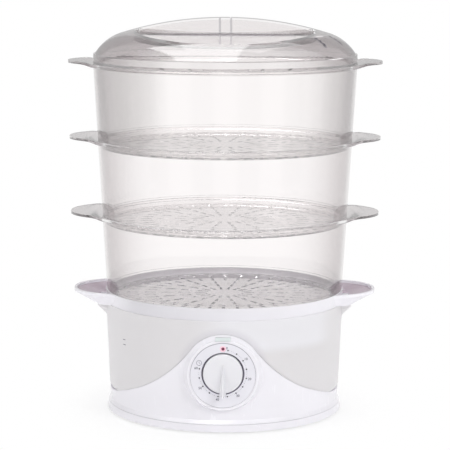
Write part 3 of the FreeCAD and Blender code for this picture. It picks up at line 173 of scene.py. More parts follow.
def length_of(tree: Tree, first: Socket, second: Socket) -> Socket:
    """The length of a step whose two parts at right angles are given."""
    square = maths(tree, "ADD", maths(tree, "POWER", first, 2.0), maths(tree, "POWER", second, 2.0))
    return maths(tree, "SQRT", square)


def object_place(tree: Tree) -> Socket:
    """The socket of the place on the object."""
    return add_node(tree, "TexCoord").outputs["Object"]


def axes_of(tree: Tree, vector: Socket) -> dict[str, Socket]:
    """Takes a vector apart.

    Args:
        tree: The tree that gets the node.
        vector: The vector's socket.

    Returns:
        Its sockets, by the names X, Y and Z.
    """
    parts = add_node(tree, "SeparateXYZ")
    feed(tree, vector, parts.inputs["Vector"])
    return {socket.name: socket for socket in parts.outputs}


def show_either(tree: Tree, factor: Socket, first: Socket, second: Socket) -> None:
    """Shows one shader or another on the surface.

    Args:
        tree: The material's tree.
        factor: Socket that is 0 for the first shader and 1 for the second.
        first: Socket of the first shader.
        second: Socket of the second shader.
    """
    either = add_node(tree, "MixShader")
    for source, target in zip((factor, first, second), either.inputs):
        feed(tree, source, target)
    feed(tree, either.outputs["Shader"], tree.nodes["Material Output"].inputs["Surface"])


def mix_colours(tree: Tree, factor: Value, first: Value, second: Value) -> Socket:
    """Mixes two colours.

    Args:
        tree: The tree that gets the node.
        factor: Socket or number, 0 for the first colour.
        first: Socket or colour.
        second: Socket or colour.

    Returns:
        The mixed colour's socket.
    """
    node = add_node(tree, "Mix", data_type="RGBA")
    feed(tree, factor, node.inputs["Factor"])
    for value, name in ((first, "A"), (second, "B")):
        socket = next(s for s in node.inputs if s.name == name and s.type == "RGBA")
        feed(tree, (*value, 1.0) if isinstance(value, tuple) else value, socket)
    return next(s for s in node.outputs if s.type == "RGBA")


def new_group(name: str, inputs: dict[str, tuple[str, float]],
              outputs: dict[str, str]) -> tuple[Tree, Node, Node]:
    """Starts a shader node group with named sockets.

    Args:
        name: The group's name.
        inputs: Each input's socket kind and first value, by name.
        outputs: Each output's socket kind, by name.

    Returns:
        The group's tree, its input node and its output node.
    """
    tree = bpy.data.node_groups.new(name, "ShaderNodeTree")
    for label, (kind, value) in inputs.items():
        socket = tree.interface.new_socket(label, in_out="INPUT", socket_type=f"NodeSocket{kind}")
        socket.default_value = value
    for label, kind in outputs.items():
        tree.interface.new_socket(label, in_out="OUTPUT", socket_type=f"NodeSocket{kind}")
    return tree, tree.nodes.new("NodeGroupInput"), tree.nodes.new("NodeGroupOutput")


def grain_group() -> Tree:
    """Builds the moulded surface effect: fine speckle in gloss and height, and soft flow waves.

    Returns:
        The node group.
    """
    tree, given, out = new_group(
        "moulded_grain",
        {"Grain Scale": ("Float", 900.0), "Flow Scale": ("Float", 14.0), "Roughness": ("Float", 0.3),
         "Roughness Spread": ("Float", 0.06), "Flow Share": ("Float", 0.5)},
        {"Roughness": "Float", "Height": "Float", "Shade": "Float"})
    place = object_place(tree)
    grain = add_node(tree, "TexNoise")
    flow = add_node(tree, "TexNoise")
    for node, scale, detail in ((grain, "Grain Scale", 3.0), (flow, "Flow Scale", 2.0)):
        feed(tree, place, node.inputs["Vector"])
        feed(tree, given.outputs[scale], node.inputs["Scale"])
        node.inputs["Detail"].default_value = detail
    speckle = maths(tree, "SUBTRACT", grain.outputs["Fac"], 0.5)
    wave = maths(tree, "SUBTRACT", flow.outputs["Fac"], 0.5)
    both = maths(tree, "ADD", speckle, maths(tree, "MULTIPLY", wave, WAVE_SHARE))
    spread = maths(tree, "MULTIPLY", both, given.outputs["Roughness Spread"])
    feed(tree, maths(tree, "ADD", given.outputs["Roughness"], spread), out.inputs["Roughness"])
    share = given.outputs["Flow Share"]
    height = maths(tree, "ADD", maths(tree, "MULTIPLY", wave, share),
                   maths(tree, "MULTIPLY", speckle, maths(tree, "SUBTRACT", 1.0, share)))
    feed(tree, height, out.inputs["Height"])
    feed(tree, flow.outputs["Fac"], out.inputs["Shade"])
    return tree


def scratch_group() -> Tree:
    """Builds fine wiping scratches: thin streaks in a few directions, as a mask.

    Returns:
        The node group.
    """
    tree, given, out = new_group(
        "wipe_scratches", {"Scale": ("Float", 60.0), "Amount": ("Float", 0.5)}, {"Mask": "Float"})
    place = object_place(tree)
    masks = []
    for angle in SCRATCH_ANGLES:
        turn = add_node(tree, "Mapping")
        turn.inputs["Rotation"].default_value = (angle, angle * SCRATCH_TILT, angle)
        turn.inputs["Scale"].default_value = (1.0, SCRATCH_STRETCH, 1.0)
        streak = add_node(tree, "TexNoise")
        feed(tree, place, turn.inputs["Vector"])
        feed(tree, turn.outputs["Vector"], streak.inputs["Vector"])
        feed(tree, given.outputs["Scale"], streak.inputs["Scale"])
        masks.append(remap(tree, streak.outputs["Fac"], *SCRATCH_EDGE, 0.0, 1.0))
    feed(tree, product(tree, maths(tree, "MAXIMUM", *masks), given.outputs["Amount"]), out.inputs["Mask"])
    return tree


def lathe_group() -> Tree:
    """Builds the fine rings that turning leaves about the upright axis.

    Returns:
        The node group.
    """
    tree, given, out = new_group("turned_rings", {"Pitch": ("Float", 0.0006)}, {"Height": "Float"})
    place = axes_of(tree, object_place(tree))
    turns = maths(tree, "DIVIDE", length_of(tree, place["X"], place["Y"]), given.outputs["Pitch"])
    feed(tree, maths(tree, "PINGPONG", turns, 1.0), out.inputs["Height"])
    return tree


class Effect(Enum):
    """The shared surface effects, each a node group that is built once."""

    GRAIN = "grain"
    SCRATCHES = "scratches"
    RINGS = "rings"


GROUP_MAKERS = {Effect.GRAIN: grain_group, Effect.SCRATCHES: scratch_group, Effect.RINGS: lathe_group}
GROUPS: dict[Effect, Tree] = {}


def effect(tree: Tree, kind: Effect, **values: float) -> Node:
    """Places a shared effect in a material.

    Args:
        tree: The material's tree.
        kind: Which effect.
        values: Its inputs' values, with _ for a space in their names.

    Returns:
        The group node.
    """
    if kind not in GROUPS:
        GROUPS[kind] = GROUP_MAKERS[kind]()
    node = add_node(tree, "Group")
    node.node_tree = GROUPS[kind]
    for name, value in values.items():
        node.inputs[name.replace("_", " ")].default_value = value
    return node


def add_bump(tree: Tree, shader: Node, height: Socket, distance: float) -> None:
    """Feeds a height to a shader's normal.

    Args:
        tree: The material's tree.
        shader: The Principled BSDF.
        height: Socket of the height.
        distance: How far a height of 1 stands out, in metres.
    """
    node = add_node(tree, "Bump")
    node.inputs["Distance"].default_value = distance
    node.inputs["Strength"].default_value = 1.0
    feed(tree, height, node.inputs["Height"])
    feed(tree, node.outputs["Normal"], shader.inputs["Normal"])


def add_scatter(shader: Node, weight: float, depth: float) -> None:
    """Lets light go a little way into a plastic.

    Args:
        shader: The Principled BSDF.
        weight: The share of the light that goes in.
        depth: How far it goes, in metres.
    """
    shader.inputs["Subsurface Weight"].default_value = weight
    shader.inputs["Subsurface Radius"].default_value = (1.0, 1.0, 1.0)
    shader.inputs["Subsurface Scale"].default_value = depth


# ---------------------------------------------------------------- finishes

@dataclass(frozen=True)
class Finish:
    """A finish: its colour, how rough it is, and what its surface is like close up."""

    name: str
    colour: Colour
    roughness: float = 0.35
    ior: float = 1.49

    def material(self) -> bpy.types.Material:
        """Makes the material.

        Returns:
            A new node material of this finish.
        """
        made = bpy.data.materials.new(self.name)
        made.use_nodes = True
        tree = made.node_tree
        shader = tree.nodes["Principled BSDF"]
        shader.inputs["Base Color"].default_value = (*self.colour, 1.0)
        shader.inputs["Roughness"].default_value = self.roughness
        shader.inputs["IOR"].default_value = self.ior
        made.diffuse_color = (*self.colour, 1.0)
        self.detail(tree, shader)
        return made

    def detail(self, tree: Tree, shader: Node) -> None:
        """Adds the finish's own nodes; a plain finish has none."""

    def worn(self, tree: Tree, shader: Node, scale: float, amount: float,
             **grain_values: float) -> Node:
        """Adds grain and wiping scratches to the gloss.

        Args:
            tree: The material's tree.
            shader: The Principled BSDF.
            scale: The scratches' scale.
            amount: How much rougher a scratch is.
            grain_values: The grain's inputs, by name.

        Returns:
            The grain's node.
        """
        grain = effect(tree, Effect.GRAIN, Roughness=self.roughness, **grain_values)
        scratches = effect(tree, Effect.SCRATCHES, Scale=scale, Amount=amount)
        rough = maths(tree, "ADD", grain.outputs["Roughness"], scratches.outputs["Mask"])
        feed(tree, rough, shader.inputs["Roughness"])
        return grain


@dataclass(frozen=True)
class MouldedPlastic(Finish):
    """Opaque moulded plastic with a slight change of shade over the piece."""

    grain_depth: float = 0.00002
    shade_spread: float = 0.02
    shade_range: Span = (0.3, 0.7)
    translucency: float = 0.0
    scatter_depth: float = 0.004

    def detail(self, tree: Tree, shader: Node) -> None:
        """Adds grain, flow waves, wiping scratches and a soft change of shade.

        Args:
            tree: The material's tree.
            shader: The Principled BSDF.
        """
        grain = self.worn(tree, shader, scale=55.0, amount=0.08, Roughness_Spread=0.08, Flow_Share=0.35)
        dark = tuple(c * (1.0 - self.shade_spread) for c in self.colour)
        light = tuple(min(1.0, c * (1.0 + self.shade_spread)) for c in self.colour)
        shade = remap(tree, grain.outputs["Shade"], *self.shade_range, 0.0, 1.0)
        feed(tree, mix_colours(tree, shade, dark, light), shader.inputs["Base Color"])
        add_bump(tree, shader, grain.outputs["Height"], self.grain_depth)
        add_scatter(shader, self.translucency, self.scatter_depth)


@dataclass(frozen=True)
class TrayPlastic(MouldedPlastic):
    """White moulded plastic, with painted mauve grey shade on the filler ears' floors and painted shade
    round the left of its rim.
    """

    # Painted shade: the mauve grey that the filler ears' recessed floors take on in shadow.
    painted_recess_shade: Colour = (0.53, 0.455, 0.51)
    # Painted shade: the front of the rim darker round the left, as the light falls from the right.
    painted_left_shade: Colour = (0.688, 0.676, 0.712)
    rim_r: Span = (0.112, 0.116)
    painted_left_shade_x: Slopes = (-0.112, -0.082, -0.08, 0.1)
    ear_x: Span = (0.112, 0.118)
    floor_z: Span = (0.1185, 0.1225)
    floor_facing: Span = (0.3, 0.8)

    def detail(self, tree: Tree, shader: Node) -> None:
        """Adds the moulded surface, the painted shade on the rim's left and the painted shade inside the
        ears.

        Args:
            tree: The material's tree.
            shader: The Principled BSDF.
        """
        MouldedPlastic.detail(self, tree, shader)
        moulded = shader.inputs["Base Color"].links[0].from_socket
        place = axes_of(tree, object_place(tree))
        facing = axes_of(tree, add_node(tree, "NewGeometry").outputs["Normal"])
        away = length_of(tree, place["X"], place["Y"])
        # Painted shade on the rim's front, strongest on the left and fading towards the right.
        shade = product(tree, plateau(tree, place["X"], self.painted_left_shade_x, smooth_fall=False),
                        rise(tree, away, *self.rim_r), maths(tree, "LESS_THAN", place["Y"], 0.0))
        rimmed = mix_colours(tree, shade, moulded, self.painted_left_shade)
        # Painted shade on the upward-facing floors inside the filler ears.
        in_ear = rise(tree, maths(tree, "ABSOLUTE", place["X"]), *self.ear_x)
        low = fall(tree, place["Z"], *self.floor_z)
        upward = rise(tree, facing["Z"], *self.floor_facing)
        share = product(tree, in_ear, low, upward)
        feed(tree, mix_colours(tree, share, rimmed, self.painted_recess_shade), shader.inputs["Base Color"])


@dataclass(frozen=True)
class ClearPlastic(Finish):
    """Clear polished plastic with painted grey shade towards its edges, and with faint flow waves in it."""

    # Painted shade: the grey that stands in for the darker reflections seen edge on.
    edge: Colour = (0.50, 0.46, 0.465)
    edge_start: float = 0.08
    edge_end: float = 0.95
    wave_depth: float = 0.00008
    shadow: float = 0.9
    deepest: float = 6.5
    most_mirrored: float = 2.5
    # Painted shade on the front edges of the ears.
    painted_ear_edge_shade: Colour = (0.30, 0.26, 0.27)
    ear_r: Span = (0.1278, 0.129)
    ear_facing: Span = (-0.65, -0.25)

    def detail(self, tree: Tree, shader: Node) -> None:
        """Adds the painted grey edge shade, the waves and the light shade that clear plastic throws.

        Args:
            tree: The material's tree.
            shader: The Principled BSDF.
        """
        grain = self.worn(tree, shader, scale=40.0, amount=0.035, Roughness_Spread=0.02,
                          Flow_Scale=9.0, Flow_Share=0.97)
        facing = add_node(tree, "LayerWeight")
        facing.inputs["Blend"].default_value = 0.5
        # Painted shade: grey mixed in as the surface turns edge on.
        rim = rise(tree, facing.outputs["Facing"], self.edge_start, self.edge_end)
        feed(tree, self.tint_with_painted_shade(tree, rim), shader.inputs["Base Color"])
        shader.inputs["Transmission Weight"].default_value = 1.0
        add_bump(tree, shader, grain.outputs["Height"], self.wave_depth)
        passing = add_node(tree, "BsdfTransparent")
        passing.inputs["Color"].default_value = (self.shadow, self.shadow, self.shadow, 1.0)
        rays = add_node(tree, "LightPath").outputs
        long_way = maths(tree, "GREATER_THAN", rays["Ray Depth"], self.deepest)
        trapped = maths(tree, "GREATER_THAN", rays["Glossy Depth"], self.most_mirrored)
        free = maths(tree, "MAXIMUM", rays["Is Shadow Ray"], maths(tree, "MAXIMUM", long_way, trapped))
        show_either(tree, free, shader.outputs["BSDF"], passing.outputs["BSDF"])

    def tint_with_painted_shade(self, tree: Tree, rim: Socket) -> Socket:
        """The clear colour with painted grey shade from face on to edge on, and painted shade at the ears'
        front edges.
        """
        return self.edged(tree, mix_colours(tree, rim, self.colour, self.edge))

    def edged(self, tree: Tree, clear: Socket) -> Socket:
        """A colour with painted shade on the front edges of the two ears.

        Args:
            tree: The material's tree.
            clear: The colour's socket.

        Returns:
            The new colour's socket.
        """
        place = axes_of(tree, object_place(tree))
        facing = axes_of(tree, add_node(tree, "NewGeometry").outputs["Normal"])
        in_ear = rise(tree, length_of(tree, place["X"], place["Y"]), *self.ear_r)
        forward = fall(tree, facing["Y"], *self.ear_facing)
        return mix_colours(tree, product(tree, in_ear, forward), clear, self.painted_ear_edge_shade)


@dataclass(frozen=True)
class VentedPlastic(ClearPlastic):
    """Clear plastic with painted dark shade round its small steam vents, at the foot of its bar and in the
    bar's webs.
    """

    # Painted shade along the crease at the bar's foot and in its webs.
    painted_line_shade: Colour = (0.30, 0.28, 0.31)
    foot_y: Span = (0.0095, 0.0175)
    foot_z: Span = (0.3725, 0.3738)
    foot_x: Span = (0.045, 0.085)
    foot_share: float = 0.72
    foot_end_share: float = 0.15
    web_x: Span = (0.00455, 0.00645)
    web_y: float = 0.0125
    web_z: float = 0.3735
    web_share: float = 0.5
    # Painted shade: dark round the vents, where the holes look dark.
    painted_vent_shade: Colour = (0.07, 0.06, 0.085)
    vent_r: float = 1.95 * MM
    row_r: float = 107.0 * MM
    pitch: float = 4.6 * MM
    count: int = 3
    row_angles: tuple[float, ...] = (-36.0, -18.0)

    def tint_with_painted_shade(self, tree: Tree, rim: Socket) -> Socket:
        """The clear plastic's colour, with painted shade round each vent, along the bar's lines and towards
        its edges.

        Args:
            tree: The material's tree.
            rim: Socket that grows from 0 face on to 1 edge on.

        Returns:
            The colour's socket.
        """
        flat = add_node(tree, "VectorMath", operation="MULTIPLY")
        feed(tree, object_place(tree), flat.inputs[0])
        flat.inputs[1].default_value = (1.0, 1.0, 0.0)
        # Painted shade round each of the vents.
        vented = 0.0
        for angle in self.row_angles:
            for step in range(self.count):
                reach = self.row_r + step * self.pitch
                turn = math.radians(angle)
                away = add_node(tree, "VectorMath", operation="DISTANCE")
                feed(tree, flat.outputs["Vector"], away.inputs[0])
                away.inputs[1].default_value = (reach * math.cos(turn), reach * math.sin(turn), 0.0)
                near = maths(tree, "LESS_THAN", away.outputs["Value"], self.vent_r)
                vented = maths(tree, "MAXIMUM", vented, near)
        place = axes_of(tree, object_place(tree))
        across = maths(tree, "ABSOLUTE", place["X"])
        depth = maths(tree, "ABSOLUTE", place["Y"])
        # Painted shade at the foot of the bar and in its webs.
        foot = product(tree, within(tree, depth, *self.foot_y), within(tree, place["Z"], *self.foot_z),
                       remap(tree, across, *self.foot_x, self.foot_share, self.foot_end_share, smooth=True))
        web = product(tree, within(tree, across, *self.web_x), maths(tree, "LESS_THAN", depth, self.web_y),
                      maths(tree, "GREATER_THAN", place["Z"], self.web_z), self.web_share)
        lined = mix_colours(tree, maths(tree, "MAXIMUM", foot, web), ClearPlastic.tint_with_painted_shade(self, tree, rim),
                            self.painted_line_shade)
        return mix_colours(tree, vented, lined, self.painted_vent_shade)


@dataclass(frozen=True)
class ShadedPlastic(ClearPlastic):
    """Clear plastic with one broad soft painted grey reflection down its left."""

    # Painted reflection: the soft grey band down the left.
    band: Colour = (0.88, 0.865, 0.862)
    painted_grey_reflection_x: Slopes = (-0.135, -0.09, -0.082, -0.06)

    def tint_with_painted_shade(self, tree: Tree, rim: Socket) -> Socket:
        """The clear colour with a painted grey reflection in the band and painted grey shade edge on.

        Args:
            tree: The material's tree.
            rim: Socket that grows from 0 face on to 1 edge on.

        Returns:
            The colour's socket.
        """
        # Painted grey reflection down the left of the bowl.
        share = plateau(tree, axes_of(tree, object_place(tree))["X"], self.painted_grey_reflection_x)
        grey_reflection_painted = mix_colours(tree, share, self.colour, self.band)
        return self.edged(tree, mix_colours(tree, rim, grey_reflection_painted, self.edge))


@dataclass(frozen=True)
class FrostedPlastic(Finish):
    """Frosted plastic: light goes a little way into it; a painted reflection lightens its upper front, and
    painted shade darkens its foot and the ring round the pod.
    """

    frost_depth: float = 0.00003
    scatter: float = 0.5
    depth: float = 0.006
    # Painted shade along the tank's foot and round the top of the pod.
    painted_contact_shade: Colour = (0.60, 0.575, 0.63)
    # Painted reflection: the lighter colour on the tank's upper front.
    painted_reflection: Colour = (0.84, 0.83, 0.87)
    foot_z: Span = (0.0225, 0.0275)
    pod_axis_z: float = 0.0596
    pod_r: Span = (0.038, 0.046)
    pod_share: float = 0.4
    painted_reflection_x: Slopes = (-0.035, 0.012, 0.088, 0.108)
    painted_reflection_z: Span = (0.074, 0.086)

    def detail(self, tree: Tree, shader: Node) -> None:
        """Adds the fine frosting, the scattering under the surface, the painted reflection on the upper
        front and the painted shade at the foot and round the pod.

        Args:
            tree: The material's tree.
            shader: The Principled BSDF.
        """
        grain = effect(tree, Effect.GRAIN, Grain_Scale=1500.0, Roughness=self.roughness,
                       Roughness_Spread=0.12, Flow_Share=0.2)
        feed(tree, grain.outputs["Roughness"], shader.inputs["Roughness"])
        add_bump(tree, shader, grain.outputs["Height"], self.frost_depth)
        place = axes_of(tree, object_place(tree))
        across, height = place["X"], place["Z"]
        in_front = maths(tree, "LESS_THAN", place["Y"], 0.0)
        # Painted reflection on the upper front of the tank.
        painted_reflection = product(tree, plateau(tree, across, self.painted_reflection_x),
                         rise(tree, height, *self.painted_reflection_z), in_front)
        # Painted shade along the foot and round the pod's top.
        foot = fall(tree, height, *self.foot_z)
        away = length_of(tree, across, maths(tree, "SUBTRACT", height, self.pod_axis_z))
        near_pod = product(tree, remap(tree, away, *self.pod_r, self.pod_share, 0.0, smooth=True), in_front)
        lit = mix_colours(tree, painted_reflection, self.colour, self.painted_reflection)
        shade = maths(tree, "MAXIMUM", foot, near_pod)
        feed(tree, mix_colours(tree, shade, lit, self.painted_contact_shade), shader.inputs["Base Color"])
        add_scatter(shader, self.scatter, self.depth)


@dataclass(frozen=True)
class Metal(Finish):
    """Bare or plated metal."""

    turned: bool = False
    ring_depth: float = 0.00003
    grain_depth: float = 0.00002

    def detail(self, tree: Tree, shader: Node) -> None:
        """Adds turning rings, or a fine grain with scratches.

        Args:
            tree: The material's tree.
            shader: The Principled BSDF.
        """
        shader.inputs["Metallic"].default_value = 1.0
        grain = self.worn(tree, shader, scale=90.0, amount=0.12, Roughness_Spread=0.2)
        if self.turned:
            rings = effect(tree, Effect.RINGS, Pitch=0.0005)
            add_bump(tree, shader, rings.outputs["Height"], self.ring_depth)
        else:
            add_bump(tree, shader, grain.outputs["Height"], self.grain_depth)


@dataclass(frozen=True)
class Ink(Finish):
    """Printed ink, matt and a little uneven; the painted shadow lines are made of it too."""

    brighter: float = 1.25
    lift: float = 0.01

    def detail(self, tree: Tree, shader: Node) -> None:
        """Adds a slight change of shade from dot to dot of the print.

        Args:
            tree: The material's tree.
            shader: The Principled BSDF.
        """
        grain = effect(tree, Effect.GRAIN, Grain_Scale=2500.0, Roughness=self.roughness)
        lighter = tuple(min(1.0, c * self.brighter + self.lift) for c in self.colour)
        feed(tree, mix_colours(tree, grain.outputs["Shade"], self.colour, lighter),
             shader.inputs["Base Color"])
        feed(tree, grain.outputs["Roughness"], shader.inputs["Roughness"])


@dataclass(frozen=True)
class Woven(Finish):
    """A woven glass sleeve: crossed threads in height and shade."""

    thread: float = 0.0008
    thread_depth: float = 0.0001
    dark_share: float = 0.8

    def detail(self, tree: Tree, shader: Node) -> None:
        """Adds the crossed threads.

        Args:
            tree: The material's tree.
            shader: The Principled BSDF.
        """
        place = axes_of(tree, object_place(tree))
        threads = [maths(tree, "SINE", product(tree, place[axis], math.tau / self.thread)) for axis in "XY"]
        weave = remap(tree, product(tree, *threads), -1.0, 1.0, 0.0, 1.0)
        dark = tuple(c * self.dark_share for c in self.colour)
        feed(tree, mix_colours(tree, weave, dark, self.colour), shader.inputs["Base Color"])
        add_bump(tree, shader, weave, self.thread_depth)


WHITE = MouldedPlastic("white_gloss", (0.86, 0.845, 0.89), roughness=0.22, translucency=0.15)
TRAY_WHITE = TrayPlastic("white_tray", (0.86, 0.845, 0.89), roughness=0.22, translucency=0.15)
KNOB_WHITE = MouldedPlastic("white_knob", (0.79, 0.785, 0.815), roughness=0.3)
DIAL_WHITE = MouldedPlastic("white_dial", (0.79, 0.78, 0.83), roughness=0.4)
FROSTED = FrostedPlastic("frosted_tank", (0.755, 0.735, 0.75), roughness=0.38)
CLEAR_BOWL = ClearPlastic("clear_bowl", (0.99, 0.975, 0.974), roughness=0.012)
CLEAR_TOP_BOWL = ShadedPlastic("clear_top_bowl", (0.99, 0.975, 0.972), roughness=0.012,
                              edge=(0.28, 0.25, 0.255), edge_start=0.05, edge_end=1.0, ear_r=(0.132, 0.133))
CLEAR_LID = VentedPlastic("clear_lid", (0.91, 0.892, 0.892), roughness=0.015, edge=(0.58, 0.545, 0.55),
                          edge_start=0.03, edge_end=0.42, ear_r=(0.2, 0.21))
LENS = MouldedPlastic("lamp_window", (0.74, 0.80, 0.80), roughness=0.2, translucency=0.6)
# Painted shadow in the knob's well and round the knob's foot.
GAP_DARK = Ink("shadow_ring", (0.085, 0.066, 0.12), roughness=0.6)
INK = Ink("scale_ink", (0.03, 0.027, 0.045), roughness=0.5)
PALE_INK = Ink("pale_ink", (0.14, 0.13, 0.18), roughness=0.5)
FIGURE_INK = Ink("figure_ink", (0.11, 0.10, 0.14), roughness=0.5)
# Painted shadow along the dial's edge.
PAINTED_EDGE_SHADOW = Ink("painted_edge_shadow", (0.24, 0.23, 0.28), roughness=0.5)
RED_INK = Ink("red_ink", (0.13, 0.008, 0.04), roughness=0.4)
PINK_INK = Ink("pink_ink", (0.84, 0.54, 0.62), roughness=0.5)
ALUMINIUM = Metal("plate_aluminium", (0.78, 0.78, 0.79), roughness=0.3, turned=True)
STEEL = Metal("zinc_steel", (0.66, 0.66, 0.66), roughness=0.32)
ELEMENT = Metal("element_steel", (0.42, 0.41, 0.4), roughness=0.45)
SILICONE = MouldedPlastic("silicone", (0.66, 0.63, 0.6), roughness=0.55, translucency=0.3)
RUBBER = MouldedPlastic("foot_rubber", (0.06, 0.06, 0.06), roughness=0.7, grain_depth=0.00006)
GLAND_RUBBER = MouldedPlastic("gland_rubber", (0.7, 0.7, 0.71), roughness=0.6)
DARK = MouldedPlastic("timer_case", (0.03, 0.03, 0.035), roughness=0.45)
BLOCK = MouldedPlastic("terminal_plastic", (0.74, 0.72, 0.64), roughness=0.4)
SLEEVE = Woven("glass_sleeve", (0.8, 0.78, 0.68), roughness=0.8)
LAMP = ClearPlastic("lamp_glass", (0.95, 0.7, 0.5), roughness=0.02)

NODE_FINISHES = {
    WHITE: ["base_housing", "bottom_cover", "steam_ring"],
    TRAY_WHITE: ["drip_tray"],
    KNOB_WHITE: ["timer_knob"],
    DIAL_WHITE: ["dial_plate"],
    FROSTED: ["water_tank"],
    CLEAR_BOWL: ["bowl_1", "bowl_2"],
    CLEAR_TOP_BOWL: ["bowl_3"],
    CLEAR_LID: ["lid"],
    LENS: ["pilot_lens"],
    ALUMINIUM: ["heating_plate"],
    STEEL: ["cover_screws", "heater_screws", "timer_screws", "heater_clamp", "thermostat", "timer_bell"],
    ELEMENT: ["heating_element", "timer_shaft"],
    SILICONE: ["heater_gasket"],
    RUBBER: ["rubber_feet"],
    GLAND_RUBBER: ["cord_gland"],
    DARK: ["timer_body", "lamp_holder"],
    BLOCK: ["terminal_block"],
    SLEEVE: ["thermal_fuse"],
    LAMP: ["pilot_lamp"],
}


class Paints:
    """The materials that are made so far, one for each finish."""

    def __init__(self) -> None:
        """Starts with none."""
        self.made: dict[Finish, bpy.types.Material] = {}

    def of(self, finish: Finish) -> bpy.types.Material:
        """The material of a finish, made at its first use.

        Args:
            finish: The finish.

        Returns:
            Its material.
        """
        if finish not in self.made:
            self.made[finish] = finish.material()
        return self.made[finish]

    def dress(self, piece: Object, finish: Finish) -> None:
        """Puts a finish all over a piece."""
        piece.data.materials.clear()
        piece.data.materials.append(self.of(finish))


# ---------------------------------------------------------------- mesh helpers

def rotation(degrees: float, axis: str, size: int = 4) -> Matrix:
    """The matrix of a turn about an axis."""
    return Matrix.Rotation(math.radians(degrees), size, axis)


def linked(name: str, data: bpy.types.ID) -> Object:
    """Makes an object of the scene.

    Args:
        name: The new object's name.
        data: Its mesh, camera or light.

    Returns:
        The new object, at the origin.
    """
    made = bpy.data.objects.new(name, data)
    bpy.context.scene.collection.objects.link(made)
    return made


def piece_from(mesh_data: bmesh.types.BMesh, name: str) -> Object:
    """Turns a bmesh into an object of the scene.

    Args:
        mesh_data: The bmesh, which is freed.
        name: The new object's name.

    Returns:
        The new object, at the origin.
    """
    mesh = bpy.data.meshes.new(name)
    mesh_data.to_mesh(mesh)
    mesh_data.free()
    return linked(name, mesh)


def text_piece(name: str, words: str, height: float, place: Point, thickness: float) -> Object:
    """Makes printed figures that face the front.

    Args:
        name: The new object's name.
        words: The figures.
        height: The figures' height, in metres.
        place: The middle of the print, on the surface that carries it.
        thickness: How far the ink stands off that surface.

    Returns:
        A mesh object, at the origin.
    """
    curve = bpy.data.curves.new(name, "FONT")
    curve.body = words
    curve.align_x = "CENTER"
    curve.align_y = "CENTER"
    curve.size = height * LETTER_SIZE
    curve.extrude = thickness / 2
    curve.offset = height * LETTER_SWELL
    lettering = bpy.data.objects.new(name, curve)
    mesh = bpy.data.meshes.new_from_object(lettering)
    bpy.data.objects.remove(lettering)
    bpy.data.curves.remove(curve)
    mesh.transform(Matrix.Translation(place) @ rotation(90, "X"))
    return linked(name, mesh)


def lay_print(paints: Paints, piece: Object, ink: Finish) -> Object:
    """Inks a piece of print or painted shadow and fixes it to the base.

    Args:
        paints: The materials.
        piece: The piece of print.
        ink: Its finish.

    Returns:
        The piece.
    """
    paints.dress(piece, ink)
    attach(piece, "base")
    return piece


# ---------------------------------------------------------------- sub-assemblies

